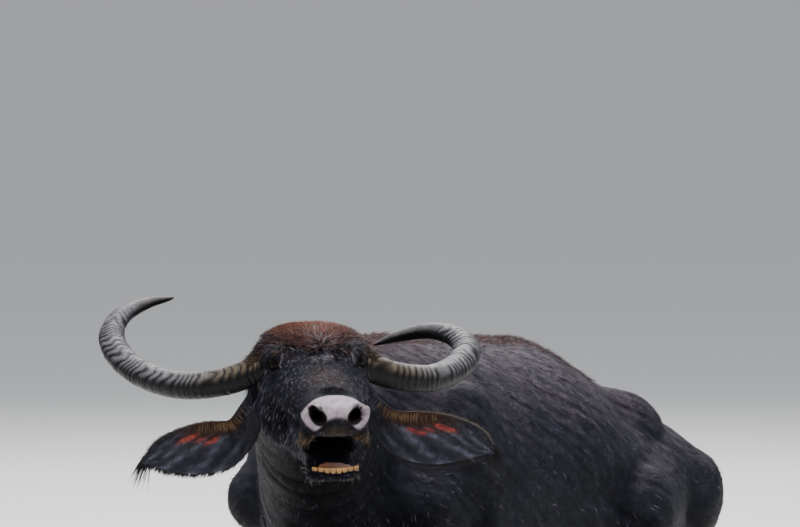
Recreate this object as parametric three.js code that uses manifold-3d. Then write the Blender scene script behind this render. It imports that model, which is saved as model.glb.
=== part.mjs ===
// A water buffalo cow lying on its chest, head raised and mouth open: a still, life-size model.
// Millimetres, +Z up, the head toward -Y, the animal's left toward +X. The origin is on the
// floor under the middle of the trunk.
import * as THREE from 'three';
import { mergeVertices } from 'three/addons/utils/BufferGeometryUtils.js';
import Module from 'manifold-3d';

const wasm = await Module();
wasm.setup();

// Driving sizes
const GAP = 0.3;
const POCKET = 0.8;
const TAU = Math.PI * 2;
const HORN_RADIUS = 38;
const EYE_RADIUS = 23;
const EYE_AT = [94, 5, 1];
const CLAW_LENGTH = 96;
const CLAW_WIDTH = 50;
const CLAW_HEIGHT = 62;

// The head's own frame: x to the animal's left, y back toward the poll, z up through the
// forehead, with the origin midway between the eyes.
const HEAD_AT = [423, -1427, 711];
const HEAD_TURN = THREE.MathUtils.degToRad(39.5);
const HEAD_NOD = THREE.MathUtils.degToRad(13.6);
const HEAD_ROLL = THREE.MathUtils.degToRad(1.5);

// Materials
const matte = (color, roughness) => new THREE.MeshStandardMaterial({ color, roughness, metalness: 0 });
const MAT = {
  hide: matte(0x2b2a2e, 0.62),
  ear: matte(0x3a3032, 0.7),
  horn: matte(0x4a4845, 0.5),
  hoof: matte(0x2e2a27, 0.55),
  eye: matte(0x0d0a09, 0.08),
  tongue: matte(0xb58a80, 0.45),
  hair: matte(0x1d1817, 0.75),
};

// Small vector helpers on plain arrays
const add = (a, b, s = 1) => [a[0] + b[0] * s, a[1] + b[1] * s, a[2] + b[2] * s];
const sub = (a, b) => add(a, b, -1);
const dot = (a, b) => a[0] * b[0] + a[1] * b[1] + a[2] * b[2];
const cross = (a, b) => [
  a[1] * b[2] - a[2] * b[1],
  a[2] * b[0] - a[0] * b[2],
  a[0] * b[1] - a[1] * b[0],
];
const length = (a) => Math.hypot(a[0], a[1], a[2]);
const unit = (a) => a.map((v) => v / length(a));
const lerp = (a, b, t) => a + (b - a) * t;
const mix = (a, b, t) => a.map((v, i) => lerp(v, b[i], t));
const clamp = (v, low, high) => Math.min(high, Math.max(low, v));
const mirror = (p, side) => [p[0] * side, p[1], p[2]];

const headMatrix = (() => {
  const level = [Math.sin(HEAD_TURN), -Math.cos(HEAD_TURN), 0];
  const forward = [
    level[0] * Math.cos(HEAD_NOD),
    level[1] * Math.cos(HEAD_NOD),
    -Math.sin(HEAD_NOD),
  ];
  const flat = cross([0, 0, 1], level);
  const crown = cross(forward, flat);
  const left = add(flat.map((v) => v * Math.cos(HEAD_ROLL)), crown, Math.sin(HEAD_ROLL));
  const up = cross(forward, left);
  return new THREE.Matrix4()
    .makeBasis(new THREE.Vector3(...left), new THREE.Vector3(...forward).negate(), new THREE.Vector3(...up))
    .setPosition(...HEAD_AT);
})();
const headInverse = headMatrix.clone().invert();
const apply = (m, p) => {
  const e = m.elements;
  return [
    e[0] * p[0] + e[4] * p[1] + e[8] * p[2] + e[12],
    e[1] * p[0] + e[5] * p[1] + e[9] * p[2] + e[13],
    e[2] * p[0] + e[6] * p[1] + e[10] * p[2] + e[14],
  ];
};
const fromHead = (p) => apply(headMatrix, p);
const toHead = (p) => apply(headInverse, p);

// Distance fields. Each form is a function of a point that is negative inside.
const blend = (a, b, k) => {
  const h = Math.max(k - Math.abs(a - b), 0) / k;
  return Math.min(a, b) - h * h * k * 0.25;
};
const carve = (a, b, k) => -blend(-a, b, k);

const limb = (a, ra, b, rb) => {
  const ab = sub(b, a);
  const span = dot(ab, ab);
  return (p) => {
    const t = clamp(dot(sub(p, a), ab) / span, 0, 1);
    return length(sub(p, add(a, ab, t))) - lerp(ra, rb, t);
  };
};

const oval = (at, size, turn = [0, 0, 0]) => {
  const angles = turn.map(THREE.MathUtils.degToRad);
  const m = new THREE.Matrix4()
    .makeRotationFromEuler(new THREE.Euler(...angles))
    .setPosition(...at)
    .invert();
  return (p) => {
    const q = apply(m, p);
    const near = Math.hypot(q[0] / size[0], q[1] / size[1], q[2] / size[2]);
    const slope = Math.hypot(q[0] / size[0] ** 2, q[1] / size[1] ** 2, q[2] / size[2] ** 2);
    return (near * (near - 1)) / Math.max(slope, 1e-9);
  };
};

const smoothStep = (rows, t, i) => {
  const r = (k) => rows[clamp(k, 0, rows.length - 1)][i];
  const s = Math.min(Math.floor(t), rows.length - 2);
  const f = t - s;
  const [a, b, c, d] = [r(s - 1), r(s), r(s + 1), r(s + 2)];
  return b + 0.5 * f * (c - a + f * (2 * a - 5 * b + 4 * c - d + f * (3 * (b - c) + d - a)));
};

// A form swept along stations of [x, y, z, half width, rise, drop, power]. The section is a
// superellipse with the station's power above its middle and one power below it.
const LOFT_STEPS = 4;
const loft = (stations, powerDown, cap) => {
  const last = (stations.length - 1) * LOFT_STEPS;
  const rows = Array.from({ length: last + 1 }, (_, k) =>
    stations[0].map((_v, i) => smoothStep(stations, k / LOFT_STEPS, i)));
  const spans = [];
  for (let k = 0; k < last; k++) {
    const a = rows[k].slice(0, 3);
    const ab = sub(rows[k + 1].slice(0, 3), a);
    const along = unit(ab);
    const side = unit(cross(along, [0, 0, 1]));
    spans.push({ a, ab, along, side, up: cross(side, along), span: dot(ab, ab), k });
  }
  return (p) => {
    let best = null;
    let nearest = Infinity;
    for (const s of spans) {
      const t = clamp(dot(sub(p, s.a), s.ab) / s.span, 0, 1);
      const d = sub(p, add(s.a, s.ab, t));
      const dd = dot(d, d);
      if (dd < nearest) {
        nearest = dd;
        best = { s, t, d };
      }
    }
    const { s, t, d } = best;
    const at = (i) => lerp(rows[s.k][i], rows[s.k + 1][i], t);
    const x = Math.abs(dot(d, s.side)) / at(3);
    const z = dot(d, s.up);
    const power = z > 0 ? at(6) : powerDown;
    const ring = (x ** power + (Math.abs(z) / (z > 0 ? at(4) : at(5))) ** power) ** (1 / power);
    const pastEnd = (s.k === 0 && t === 0) || (s.k === last - 1 && t === 1);
    const over = pastEnd ? Math.abs(dot(d, s.along)) / cap : 0;
    const g = Math.hypot(ring, over);
    return g < 1e-6 ? -at(3) : length(d) * (1 - 1 / g);
  };
};

const joined = (parts) => (p) => {
  let d = Infinity;
  for (const [field, k] of parts) {
    const f = field(p);
    d = d === Infinity ? f : blend(d, f, k);
  }
  return d;
};

// The trunk
const trunkLoft = loft([
  [0, -680, 300, 140, 262, 250, 1.9],
  [0, -600, 330, 228, 330, 322, 1.9],
  [0, -500, 370, 305, 338, 380, 1.9],
  [0, -415, 390, 342, 325, 405, 1.85],
  [0, -200, 390, 364, 320, 425, 1.85],
  [0, 50, 388, 382, 308, 430, 1.8],
  [0, 215, 385, 374, 304, 425, 1.62],
  [0, 380, 378, 340, 268, 410, 1.4],
  [0, 520, 362, 312, 226, 385, 1.25],
  [0, 640, 335, 280, 200, 345, 1.35],
  [0, 760, 300, 240, 200, 295, 1.5],
  [0, 870, 275, 185, 195, 240, 1.6],
  [0, 950, 262, 120, 160, 190, 1.8],
], 2.6, 40);
const shoulders = [1, -1].flatMap((s) => [
  [oval([s * 232, -455, 415], [92, 150, 205], [12, s * 14, s * -8]), 70],
  [limb([s * 235, -600, 320], 92, [s * 205, -470, 205], 84), 60],
]);
const haunches = [1, -1].flatMap((s) => [
  [oval([s * 196, 505, 480], [78, 112, 58], [0, s * 34, 0]), 70],
  [limb([s * 185, 560, 400], 80, [s * 225, 690, 262], 140), 80],
  [oval([s * 200, 670, 265], [150, 185, 150], [0, 0, s * 8]), 60],
  [oval([s * 85, 885, 375], [55, 55, 60]), 50],
]);
// The spine shows as a low ridge from the withers to the tail head
const SPINE = [[0, -470, 678], [0, 230, 650], [0, 390, 622], [0, 560, 562], [0, 760, 486]];
const SPINE_RADIUS = 26;
const spineRidge = joined(SPINE.slice(1).map((at, i) =>
  [limb(SPINE[i], SPINE_RADIUS, at, SPINE_RADIUS), 6]));
const tailHead = limb([0, 845, 425], 58, [0, 955, 385], 40);
const brisket = oval([0, -640, 175], [130, 150, 170]);

// The neck, from the trunk to the back of the skull
const neckLoft = loft([
  [0, -520, 400, 235, 290, 330, 2],
  [22, -690, 452, 188, 232, 320, 2],
  [98, -880, 520, 158, 172, 232, 2],
  [200, -1085, 590, 140, 134, 160, 2],
  [292, -1262, 652, 126, 110, 122, 2],
], 2.2, 60);

// The head, in its own frame and alike on both sides
const skull = loft([
  [0, 215, -78, 70, 72, 70, 2.6],
  [0, 165, -52, 110, 94, 92, 2.8],
  [0, 125, -45, 125, 103, 95, 2.9],
  [0, 70, -45, 127, 97, 100, 2.8],
  [0, 0, -45, 119, 76, 92, 2.6],
  [0, -80, -50, 95, 68, 66, 2.4],
  [0, -160, -50, 78, 60, 60, 2.4],
  [0, -240, -52, 74, 56, 44, 2.6],
  [0, -290, -51, 80, 49, 42, 2.7],
  [0, -316, -49, 76, 38, 42, 2.6],
], 2.6, 27);
const lowerJaw = loft([
  [0, 85, -165, 84, 60, 50, 2.6],
  [0, 35, -172, 90, 60, 62, 2.6],
  [0, -40, -178, 80, 50, 52, 2.6],
  [0, -110, -178, 66, 44, 43, 2.6],
  [0, -185, -184, 58, 32, 34, 2.6],
  [0, -238, -191, 64, 18, 27, 2.6],
  [0, -268, -195, 68, 11, 20, 2.6],
], 2.3, 24);
const mouthSpace = loft([
  [0, -380, -142, 96, 50, 42, 1.8],
  [0, -330, -142, 92, 46, 40, 1.8],
  [0, -285, -142, 90, 43, 38, 1.8],
  [0, -255, -141, 78, 33, 33, 1.9],
  [0, -228, -139, 54, 24, 26, 2],
  [0, -170, -136, 38, 8, 8, 2],
], 2.3, 20);
const faceForms = [
  [skull, 1],
  [oval([82, 62, -118], [50, 92, 104]), 30],
  [oval([88, 14, 2], [30, 42, 35], [0, 0, -14]), 22],
  [limb([64, 4, 26], 16, [108, 40, 14], 14), 22],
  [limb([82, -30, -58], 26, [64, -140, -66], 18), 24],
  [lowerJaw, 18],
  [limb([34, -60, -126], 42, [42, -208, -136], 32), 26],
  [oval([62, -272, -92], [22, 48, 40], [0, 0, 10]), 18],
  [oval([51, -316, -32], [28, 20, 27]), 14],
  [limb([80, 90, -20], 44, [128, 88, -37], 39), 22],
  [limb([84, 128, -82], 42, [120, 120, -110], 34), 22],
];

const faceFlesh = joined(faceForms);
const headField = (p) => {
  const q = [Math.abs(p[0]), p[1], p[2]];
  return carve(faceFlesh(q), mouthSpace(q), 10);
};

const trunkField = joined([
  [trunkLoft, 1],
  ...shoulders,
  ...haunches,
  [spineRidge, 60],
  [tailHead, 50],
  [brisket, 70],
]);
const bodyField = (p) => blend(blend(trunkField(p), neckLoft(p), 90), headField(toHead(p)), 45);

// Legs. Each is given for the left side, the joints from the top down.
const FORE = {
  elbow: [190, -445, 172],
  knee: [158, -822, 48],
  fetlock: [254, -628, 41],
  toe: [292, -540, 38],
};
const HIND = {
  hip: [165, 640, 300],
  stifle: [332, 300, 256],
  hock: [262, 722, 55],
  fetlock: [398, 430, 43],
  toe: [438, 348, 40],
};
const forelegField = (s) => joined([
  [limb(mirror(FORE.elbow, s), 78, mirror(FORE.knee, s), 46), 1],
  [oval(mirror(FORE.knee, s), [49, 58, 50]), 20],
  [limb(mirror(add(FORE.knee, [14, 30, -8]), s), 36, mirror(FORE.fetlock, s), 33), 30],
  [oval(mirror(FORE.fetlock, s), [42, 48, 42], [0, 0, s * -25]), 14],
  [limb(mirror(FORE.fetlock, s), 38, mirror(FORE.toe, s), 36), 12],
]);
const hindlegField = (s) => joined([
  [limb(mirror(HIND.hip, s), 160, mirror(HIND.stifle, s), 112), 1],
  [limb(mirror(HIND.stifle, s), 96, mirror(HIND.hock, s), 52), 60],
  [oval(mirror(add(HIND.hock, [-4, 18, 6]), s), [46, 62, 54]), 16],
  [limb(mirror(HIND.hock, s), 42, mirror(HIND.fetlock, s), 36), 40],
  [oval(mirror(HIND.fetlock, s), [43, 50, 43], [0, 0, s * 25]), 14],
  [limb(mirror(HIND.fetlock, s), 40, mirror(HIND.toe, s), 38), 12],
]);

// A closed surface round a field, on a grid of cells whose edges are given along each axis.
// Each cell that the surface crosses gets one point, drawn onto the surface.
const steps = (low, high, size) => {
  const count = Math.ceil((high - low) / size);
  return Array.from({ length: count + 1 }, (_, i) => low + ((high - low) * i) / count);
};
const stages = (...marks) => {
  const out = [];
  for (let i = 0; i + 2 < marks.length; i += 2) {
    const [from, size, to] = marks.slice(i, i + 3);
    out.push(...steps(from, to, size).slice(0, -1));
  }
  out.push(marks[marks.length - 1]);
  return out;
};
const CORNERS = Array.from({ length: 8 }, (_, i) => [i & 1, (i >> 1) & 1, (i >> 2) & 1]);
const EDGES = CORNERS.flatMap((c, i) => [1, 2, 4].filter((bit) => !(i & bit)).map((bit) => [i, i | bit]));

function surface(field, xs, ys, zs) {
  const [nx, ny, nz] = [xs.length, ys.length, zs.length];
  const values = new Float64Array(nx * ny * nz);
  const id = (i, j, k) => (k * ny + j) * nx + i;
  const atEnd = (n, axis) => n === 0 || n === axis.length - 1;
  for (let k = 0; k < nz; k++)
    for (let j = 0; j < ny; j++)
      for (let i = 0; i < nx; i++) {
        const value = field([xs[i], ys[j], zs[k]]);
        const rim = atEnd(i, xs) || atEnd(j, ys) || atEnd(k, zs);
        values[id(i, j, k)] = rim ? Math.max(value, 5) : value;
      }
  const cellPoint = new Map();
  const points = [];
  const axes = [[1, 0, 0], [0, 1, 0], [0, 0, 1]];
  const slope = (p) => axes.map((h) => field(add(p, h, 0.5)) - field(add(p, h, -0.5)));
  const pull = (p, reach) => {
    let q = p;
    for (let n = 0; n < 3; n++) {
      const g = slope(q);
      q = add(q, g, -clamp(field(q) / Math.max(dot(g, g), 0.2), -reach, reach));
    }
    return length(sub(q, p)) < reach ? q : p;
  };
  for (let k = 0; k + 1 < nz; k++)
    for (let j = 0; j + 1 < ny; j++)
      for (let i = 0; i + 1 < nx; i++) {
        const v = CORNERS.map(([a, b, c]) => values[id(i + a, j + b, k + c)]);
        let count = 0;
        let sum = [0, 0, 0];
        for (const [a, b] of EDGES) {
          if (v[a] < 0 === v[b] < 0) continue;
          const t = v[a] / (v[a] - v[b]);
          const at = mix(CORNERS[a], CORNERS[b], t);
          sum = add(sum, at);
          count++;
        }
        if (!count) continue;
        const c = sum.map((s) => s / count);
        const size = [xs[i + 1] - xs[i], ys[j + 1] - ys[j], zs[k + 1] - zs[k]];
        const p = [xs[i] + size[0] * c[0], ys[j] + size[1] * c[1], zs[k] + size[2] * c[2]];
        cellPoint.set(id(i, j, k), points.length);
        points.push(pull(p, Math.min(...size) * 0.4));
      }
  const index = [];
  const quad = (a, b, c, d, flip) => {
    const [p, q, r, s] = [a, b, c, d].map((n) => cellPoint.get(n));
    const short = length(sub(points[p], points[r])) < length(sub(points[q], points[s]));
    const faces = short ? [[p, q, r], [p, r, s]] : [[p, q, s], [q, r, s]];
    for (const f of faces) index.push(...(flip ? [f[0], f[2], f[1]] : f));
  };
  for (let k = 0; k + 1 < nz; k++)
    for (let j = 0; j + 1 < ny; j++)
      for (let i = 0; i + 1 < nx; i++) {
        const here = values[id(i, j, k)] < 0;
        const x = values[id(i + 1, j, k)] < 0;
        const y = values[id(i, j + 1, k)] < 0;
        const z = values[id(i, j, k + 1)] < 0;
        if (here !== x) quad(id(i, j - 1, k - 1), id(i, j, k - 1), id(i, j, k), id(i, j - 1, k), !here);
        if (here !== y) quad(id(i - 1, j, k - 1), id(i - 1, j, k), id(i, j, k), id(i, j, k - 1), !here);
        if (here !== z) quad(id(i - 1, j - 1, k), id(i, j - 1, k), id(i, j, k), id(i - 1, j, k), !here);
      }
  const geometry = new THREE.BufferGeometry();
  geometry.setAttribute('position', new THREE.Float32BufferAttribute(points.flat(), 3));
  geometry.setIndex(index);
  return geometry;
}

// Solids
const solid = (geometry) => {
  const bare = geometry.clone();
  for (const name of Object.keys(bare.attributes)) if (name !== 'position') bare.deleteAttribute(name);
  const merged = mergeVertices(bare, 1e-4);
  const vertProperties = new Float32Array(merged.attributes.position.array);
  const triVerts = new Uint32Array(merged.index.array);
  const made = new wasm.Manifold(new wasm.Mesh({ numProp: 3, vertProperties, triVerts }));
  if (made.volume() > 0) return made;
  for (let i = 0; i < triVerts.length; i += 3) {
    const second = triVerts[i + 1];
    triVerts[i + 1] = triVerts[i + 2];
    triVerts[i + 2] = second;
  }
  return new wasm.Manifold(new wasm.Mesh({ numProp: 3, vertProperties, triVerts }));
};
const largest = (body) => body.decompose().reduce((a, b) => (b.volume() > a.volume() ? b : a));
const geometryOf = (body) => {
  const mesh = body.getMesh();
  const geometry = new THREE.BufferGeometry();
  geometry.setAttribute('position', new THREE.Float32BufferAttribute(Array.from(mesh.vertProperties), 3));
  geometry.setIndex(Array.from(mesh.triVerts));
  return geometry;
};
// The room that a body needs in its neighbour: the body itself, a little larger all round
const pocketOf = (body, matrix = null) => {
  const geometry = geometryOf(body);
  geometry.computeVertexNormals();
  const at = geometry.attributes.position;
  const out = geometry.attributes.normal;
  for (let i = 0; i < at.count; i++) {
    const point = [at.getX(i), at.getY(i), at.getZ(i)];
    at.setXYZ(i, ...add(point, [out.getX(i), out.getY(i), out.getZ(i)], POCKET));
  }
  if (matrix) geometry.applyMatrix4(matrix);
  return solid(geometry);
};
const keep = (body, normal, point) => {
  const n = unit(normal);
  return body.trimByPlane(n, dot(n, point) + GAP / 2);
};
const parted = (body, normal, point) => [keep(body, normal, point), keep(body, normal.map((v) => -v), point)];
const onFloor = (body) => body.trimByPlane([0, 0, 1], 0);

// A finished body's geometry. Edges that a cut left shorter than SHORT_EDGE are closed up, and
// corners of the body that only touch at a point or an edge are drawn apart by PINCH.
const SHORT_EDGE = 0.02;
const PINCH = 0.06;
function finished(body) {
  const geometry = geometryOf(body);
  const at = geometry.attributes.position;
  const faces = Array.from(geometry.index.array);
  const same = Array.from({ length: at.count }, (_, i) => i);
  const root = (i) => {
    while (same[i] !== i) i = same[i];
    return i;
  };
  const point = (i) => [at.getX(i), at.getY(i), at.getZ(i)];
  for (let i = 0; i < faces.length; i++) {
    const next = faces[i % 3 === 2 ? i - 2 : i + 1];
    if (length(sub(point(faces[i]), point(next))) < SHORT_EDGE) same[root(faces[i])] = root(next);
  }
  const kept = [];
  for (let i = 0; i < faces.length; i += 3) {
    const face = faces.slice(i, i + 3).map(root);
    if (new Set(face).size === 3) kept.push(...face);
  }
  geometry.setIndex(kept);
  geometry.computeVertexNormals();
  const out = geometry.attributes.normal;
  const groups = new Map();
  for (const i of new Set(kept)) {
    const key = point(i).map((v) => Math.round(v / SHORT_EDGE)).join();
    groups.set(key, [...(groups.get(key) ?? []), i]);
  }
  for (const members of groups.values())
    for (const i of members.length > 1 ? members : [])
      at.setXYZ(i, ...add(point(i), [out.getX(i), out.getY(i), out.getZ(i)], -PINCH));
  geometry.deleteAttribute('normal');
  return geometry;
}

const group = new THREE.Group();
const place = (name, body, material, matrix = null) => {
  const mesh = new THREE.Mesh(finished(largest(body)), material);
  mesh.name = name;
  if (matrix) mesh.applyMatrix4(matrix);
  group.add(mesh);
};

// A tube through rings of points, closed by a point in the middle of each end.
function ringed(rings) {
  const sides = rings[0].length;
  const points = rings.flat();
  const middle = (ring) => ring.reduce((a, b) => add(a, b), [0, 0, 0]).map((v) => v / sides);
  points.push(middle(rings[0]), middle(rings[rings.length - 1]));
  const index = [];
  const first = rings.length * sides;
  const end = (rings.length - 1) * sides;
  for (let r = 0; r + 1 < rings.length; r++)
    for (let i = 0; i < sides; i++) {
      const a = r * sides + i;
      const b = r * sides + ((i + 1) % sides);
      index.push(a, b, b + sides, a, b + sides, a + sides);
    }
  for (let i = 0; i < sides; i++) {
    const next = (i + 1) % sides;
    index.push(first, next, i);
    index.push(first + 1, end + i, end + next);
  }
  const geometry = new THREE.BufferGeometry();
  geometry.setAttribute('position', new THREE.Float32BufferAttribute(points.flat(), 3));
  geometry.setIndex(index);
  return geometry;
}
const curveThrough = (points) => {
  const vectors = points.map((p) => new THREE.Vector3(...p));
  return new THREE.CatmullRomCurve3(vectors, false, 'centripetal');
};

// A seeded draw from 0 to 1
const draws = (seed) => () => {
  seed = (seed + 0x6d2b79f5) | 0;
  let t = Math.imul(seed ^ (seed >>> 15), 1 | seed);
  t = (t + Math.imul(t ^ (t >>> 7), 61 | t)) ^ t;
  return ((t ^ (t >>> 14)) >>> 0) / 2 ** 32;
};

// A flat lock of hair that tapers along the curve from its root, past its bend, to its tip.
// Its flat side faces along face.
const LOCK_STEPS = 3;
const LOCK_POINT = 0.16;
function lock(root, bend, tip, face, wide, thick) {
  const rings = Array.from({ length: LOCK_STEPS + 1 }, (_, i) => {
    const t = i / LOCK_STEPS;
    const at = mix(mix(root, bend, t), mix(bend, tip, t), t);
    const along = unit(mix(sub(bend, root), sub(tip, bend), t));
    const side = unit(cross(along, face));
    const out = cross(side, along);
    const taper = lerp(1, LOCK_POINT, t ** 1.4);
    return [[1, 0], [0, 1], [-1, 0], [0, -1]].map(([w, h]) =>
      add(add(at, side, w * wide * 0.5 * taper), out, h * thick * 0.5 * taper));
  });
  return solid(ringed(rings));
}

// Trunk, neck, head and jaw are one form, parted by thin cuts
const NECK_CUT = { at: [30, -700, 450], normal: [-0.25, 1, -0.35] };
const POLL_CUT = { at: [0, 196, -40], normal: [0, 0.939, -0.343] };
const JAW_CUT = { at: [0, -245, -142], normal: [0, 75, 325] };
const opposite = (v) => v.map((n) => -n);
const pollInWorld = {
  at: fromHead(POLL_CUT.at),
  normal: sub(fromHead(POLL_CUT.normal), HEAD_AT),
};

const trunk = onFloor(keep(solid(surface(
  bodyField,
  steps(-480, 480, 74),
  stages(-960, 94, 360, 58, 600, 84, 1060),
  stages(-110, 84, 400, 54, 600, 70, 820),
)), NECK_CUT.normal, NECK_CUT.at));
const neck = keep(
  keep(solid(surface(
    bodyField,
    steps(-320, 480, 60),
    steps(-1420, -560, 60),
    steps(10, 860, 58),
  )), opposite(NECK_CUT.normal), NECK_CUT.at),
  pollInWorld.normal,
  pollInWorld.at,
);
const headAll = solid(surface(
  (p) => bodyField(fromHead(p)),
  steps(-180, 180, 26),
  stages(-365, 20, -250, 34, -60, 26, 50, 38, 290),
  stages(-270, 30, -100, 21, 92),
));
const [skullPart, jawPart] = parted(
  keep(headAll, opposite(POLL_CUT.normal), POLL_CUT.at),
  JAW_CUT.normal,
  JAW_CUT.at,
);

// A ball squashed to three radii, turned about the vertical and moved into place
const egg = (at, size, turn = 0, around = 14, rings = 10) => solid(new THREE.SphereGeometry(1, around, rings)
  .rotateX(Math.PI / 2)
  .scale(...size)
  .rotateZ(turn)
  .translate(...at));

// Eyes look out to the side and a little forward. Two lids close round each in an almond.
const EYE_LOOK = THREE.MathUtils.degToRad(42);
const LID_RADIUS = 6;
const LID_RISE = 3.5;
const LID_OPEN = [0.95, 0.62];
const LID_STEPS = 14;
const LID_SIDES = 4;
const LID_CUT = [14, 19, 12];
const eyeBall = (s, grow) => egg(mirror(EYE_AT, s), Array(3).fill(EYE_RADIUS + grow), 0, 12, 8);
function lids(s) {
  const look = [s * Math.cos(EYE_LOOK), -Math.sin(EYE_LOOK), 0.02];
  const back = [s * Math.sin(EYE_LOOK), Math.cos(EYE_LOOK), 0];
  const centre = mirror(EYE_AT, s);
  const path = Array.from({ length: LID_STEPS }, (_, i) => {
    const turn = (TAU * i) / LID_STEPS;
    const wide = LID_OPEN[0] * Math.cos(turn);
    const high = LID_OPEN[1] * Math.sin(turn) * (1 - 0.25 * Math.cos(turn) ** 2);
    return add(centre, unit(add(add(look, back, wide), [0, 0, 1], high)), EYE_RADIUS + LID_RISE);
  });
  const points = [];
  const index = [];
  path.forEach((at, i) => {
    const along = unit(sub(path[(i + 1) % LID_STEPS], path[(i + LID_STEPS - 1) % LID_STEPS]));
    const out = unit(sub(at, centre));
    const side = cross(along, out);
    for (let k = 0; k < LID_SIDES; k++) {
      const turn = (TAU * k) / LID_SIDES;
      points.push(add(add(at, out, LID_RADIUS * Math.cos(turn)), side, LID_RADIUS * Math.sin(turn)));
      const a = i * LID_SIDES + k;
      const b = i * LID_SIDES + ((k + 1) % LID_SIDES);
      const c = ((i + 1) % LID_STEPS) * LID_SIDES + k;
      const d = ((i + 1) % LID_STEPS) * LID_SIDES + ((k + 1) % LID_SIDES);
      index.push(a, c, d, a, d, b);
    }
  });
  const geometry = new THREE.BufferGeometry();
  geometry.setAttribute('position', new THREE.Float32BufferAttribute(points.flat(), 3));
  geometry.setIndex(index);
  const opening = egg(add(centre, look, EYE_RADIUS), LID_CUT, -s * EYE_LOOK, 12, 8);
  return [solid(geometry), opening];
}

// Nostrils: short slanting pits in the front of the nose pad
const NOSTRIL_AT = [50, -338, -33];
const NOSTRIL_SIZE = [16, 30, 18];
const NOSTRIL_TURN = THREE.MathUtils.degToRad(18);

let skullWhole = skullPart;
for (const s of [1, -1]) {
  const [ring, opening] = lids(s);
  skullWhole = skullWhole.subtract(opening).add(ring).subtract(eyeBall(s, GAP))
    .subtract(egg(mirror(NOSTRIL_AT, s), NOSTRIL_SIZE, s * NOSTRIL_TURN));
}

// Tongue and lower front teeth, the teeth joined to the jaw in an arc
const TONGUE = { back: [0, -186, -172], front: [0, -256, -181], wide: 31, thick: 10 };
const TOOTH_COUNT = 8;
const TOOTH_ARC = { wide: 50, deep: 16, front: -280 };
const TOOTH = { wide: 11.4, thick: 7, top: -177, root: -200 };
const tongueField = (() => {
  const size = [TONGUE.wide, TONGUE.wide, TONGUE.thick];
  const inSizes = (v) => v.map((n, i) => n / size[i]);
  const form = limb([0, 0, 0], 1, inSizes(sub(TONGUE.front, TONGUE.back)), 0.86);
  return (p) => form(inSizes(sub(p, TONGUE.back))) * TONGUE.thick;
})();
const tongueGrid = [steps(-48, 48, 16), steps(-300, -140, 20), steps(-200, -150, 9)];
const tongue = solid(surface(tongueField, ...tongueGrid));
const tooth = (i) => {
  const t = (i + 0.5) / TOOTH_COUNT * 2 - 1;
  const at = [t * TOOTH_ARC.wide, TOOTH_ARC.front + TOOTH_ARC.deep * t * t, 0];
  const geometry = new THREE.BoxGeometry(TOOTH.wide, TOOTH.thick, TOOTH.top - TOOTH.root);
  const corner = geometry.attributes.position;
  for (let k = 0; k < corner.count; k++)
    if (corner.getZ(k) > 0) corner.setY(k, corner.getY(k) * 0.45 - 1.5);
  return solid(geometry
    .rotateZ(t * 0.5)
    .translate(at[0], at[1], (TOOTH.top + TOOTH.root) / 2));
};
let jawWhole = jawPart;
for (let i = 0; i < TOOTH_COUNT; i++) jawWhole = jawWhole.add(tooth(i));
const tonguePocket = pocketOf(tongue);
jawWhole = jawWhole.subtract(tonguePocket);
skullWhole = skullWhole.subtract(tonguePocket);

// Horns: ringed cones swept outward, back and inward, flatter above
const HORN_PATH = {
  left: [[116, 84, -32], [212, 110, -72], [305, 168, -98], [380, 262, -103], [424, 372, -96],
    [420, 478, -92], [370, 572, -100], [290, 628, -130], [235, 640, -152]],
  right: [[116, 84, -32], [206, 108, -70], [298, 155, -92], [375, 243, -94], [428, 352, -76],
    [438, 458, -52], [402, 550, -30], [330, 616, -18], [262, 640, -14]],
};
const HORN_RINGS = 38;
const HORN_SIDES = 8;
const HORN_RIDGE_END = 0.74;
const HORN_RIDGES = 15;
function horn(path, side) {
  const curve = curveThrough(path.map((p) => mirror(p, side)));
  const rings = [];
  for (let r = 0; r <= HORN_RINGS; r++) {
    const u = r / HORN_RINGS;
    const at = curve.getPointAt(u).toArray();
    const along = curve.getTangentAt(u).toArray();
    const up = unit(sub([0, 0, 1], along.map((v) => v * along[2])));
    const out = cross(along, up);
    const taper = HORN_RADIUS * (1 - 0.22 * u) * Math.sqrt(Math.max(1 - u ** 3.2, 0.004));
    const ridged = u < HORN_RIDGE_END ? Math.sin(Math.PI * HORN_RIDGES * (u / HORN_RIDGE_END)) ** 2 : 0.5;
    const size = taper * (1 + 0.05 * (ridged - 0.5));
    const ring = [];
    for (let i = 0; i < HORN_SIDES; i++) {
      const turn = (TAU * i) / HORN_SIDES;
      const [c, s] = [Math.cos(turn), Math.sin(turn)];
      ring.push(add(add(at, out, size * 1.12 * c), up, size * (s > 0 ? 0.84 : 0.96) * s));
    }
    rings.push(ring);
  }
  return solid(ringed(rings));
}

// Ears: drooping cups that face forward, on a short tube. Half widths go with the path's points.
const EAR_RINGS = 12;
const EAR_SIDES = 14;
const EAR_THICK = 8;
const EAR_PATH = {
  left: [[116, 122, -104], [148, 112, -148], [184, 100, -186], [228, 90, -208],
    [288, 84, -219], [345, 84, -228], [402, 88, -243], [452, 92, -268]],
  right: [[116, 122, -104], [146, 112, -150], [174, 100, -194], [212, 90, -216],
    [262, 84, -224], [314, 84, -232], [366, 88, -245], [410, 92, -262]],
};
const EAR_HALF = [28, 31, 42, 60, 67, 59, 41, 7];
const EAR_CUP = [24, 26, 34, 46, 42, 30, 17, 6];
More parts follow.
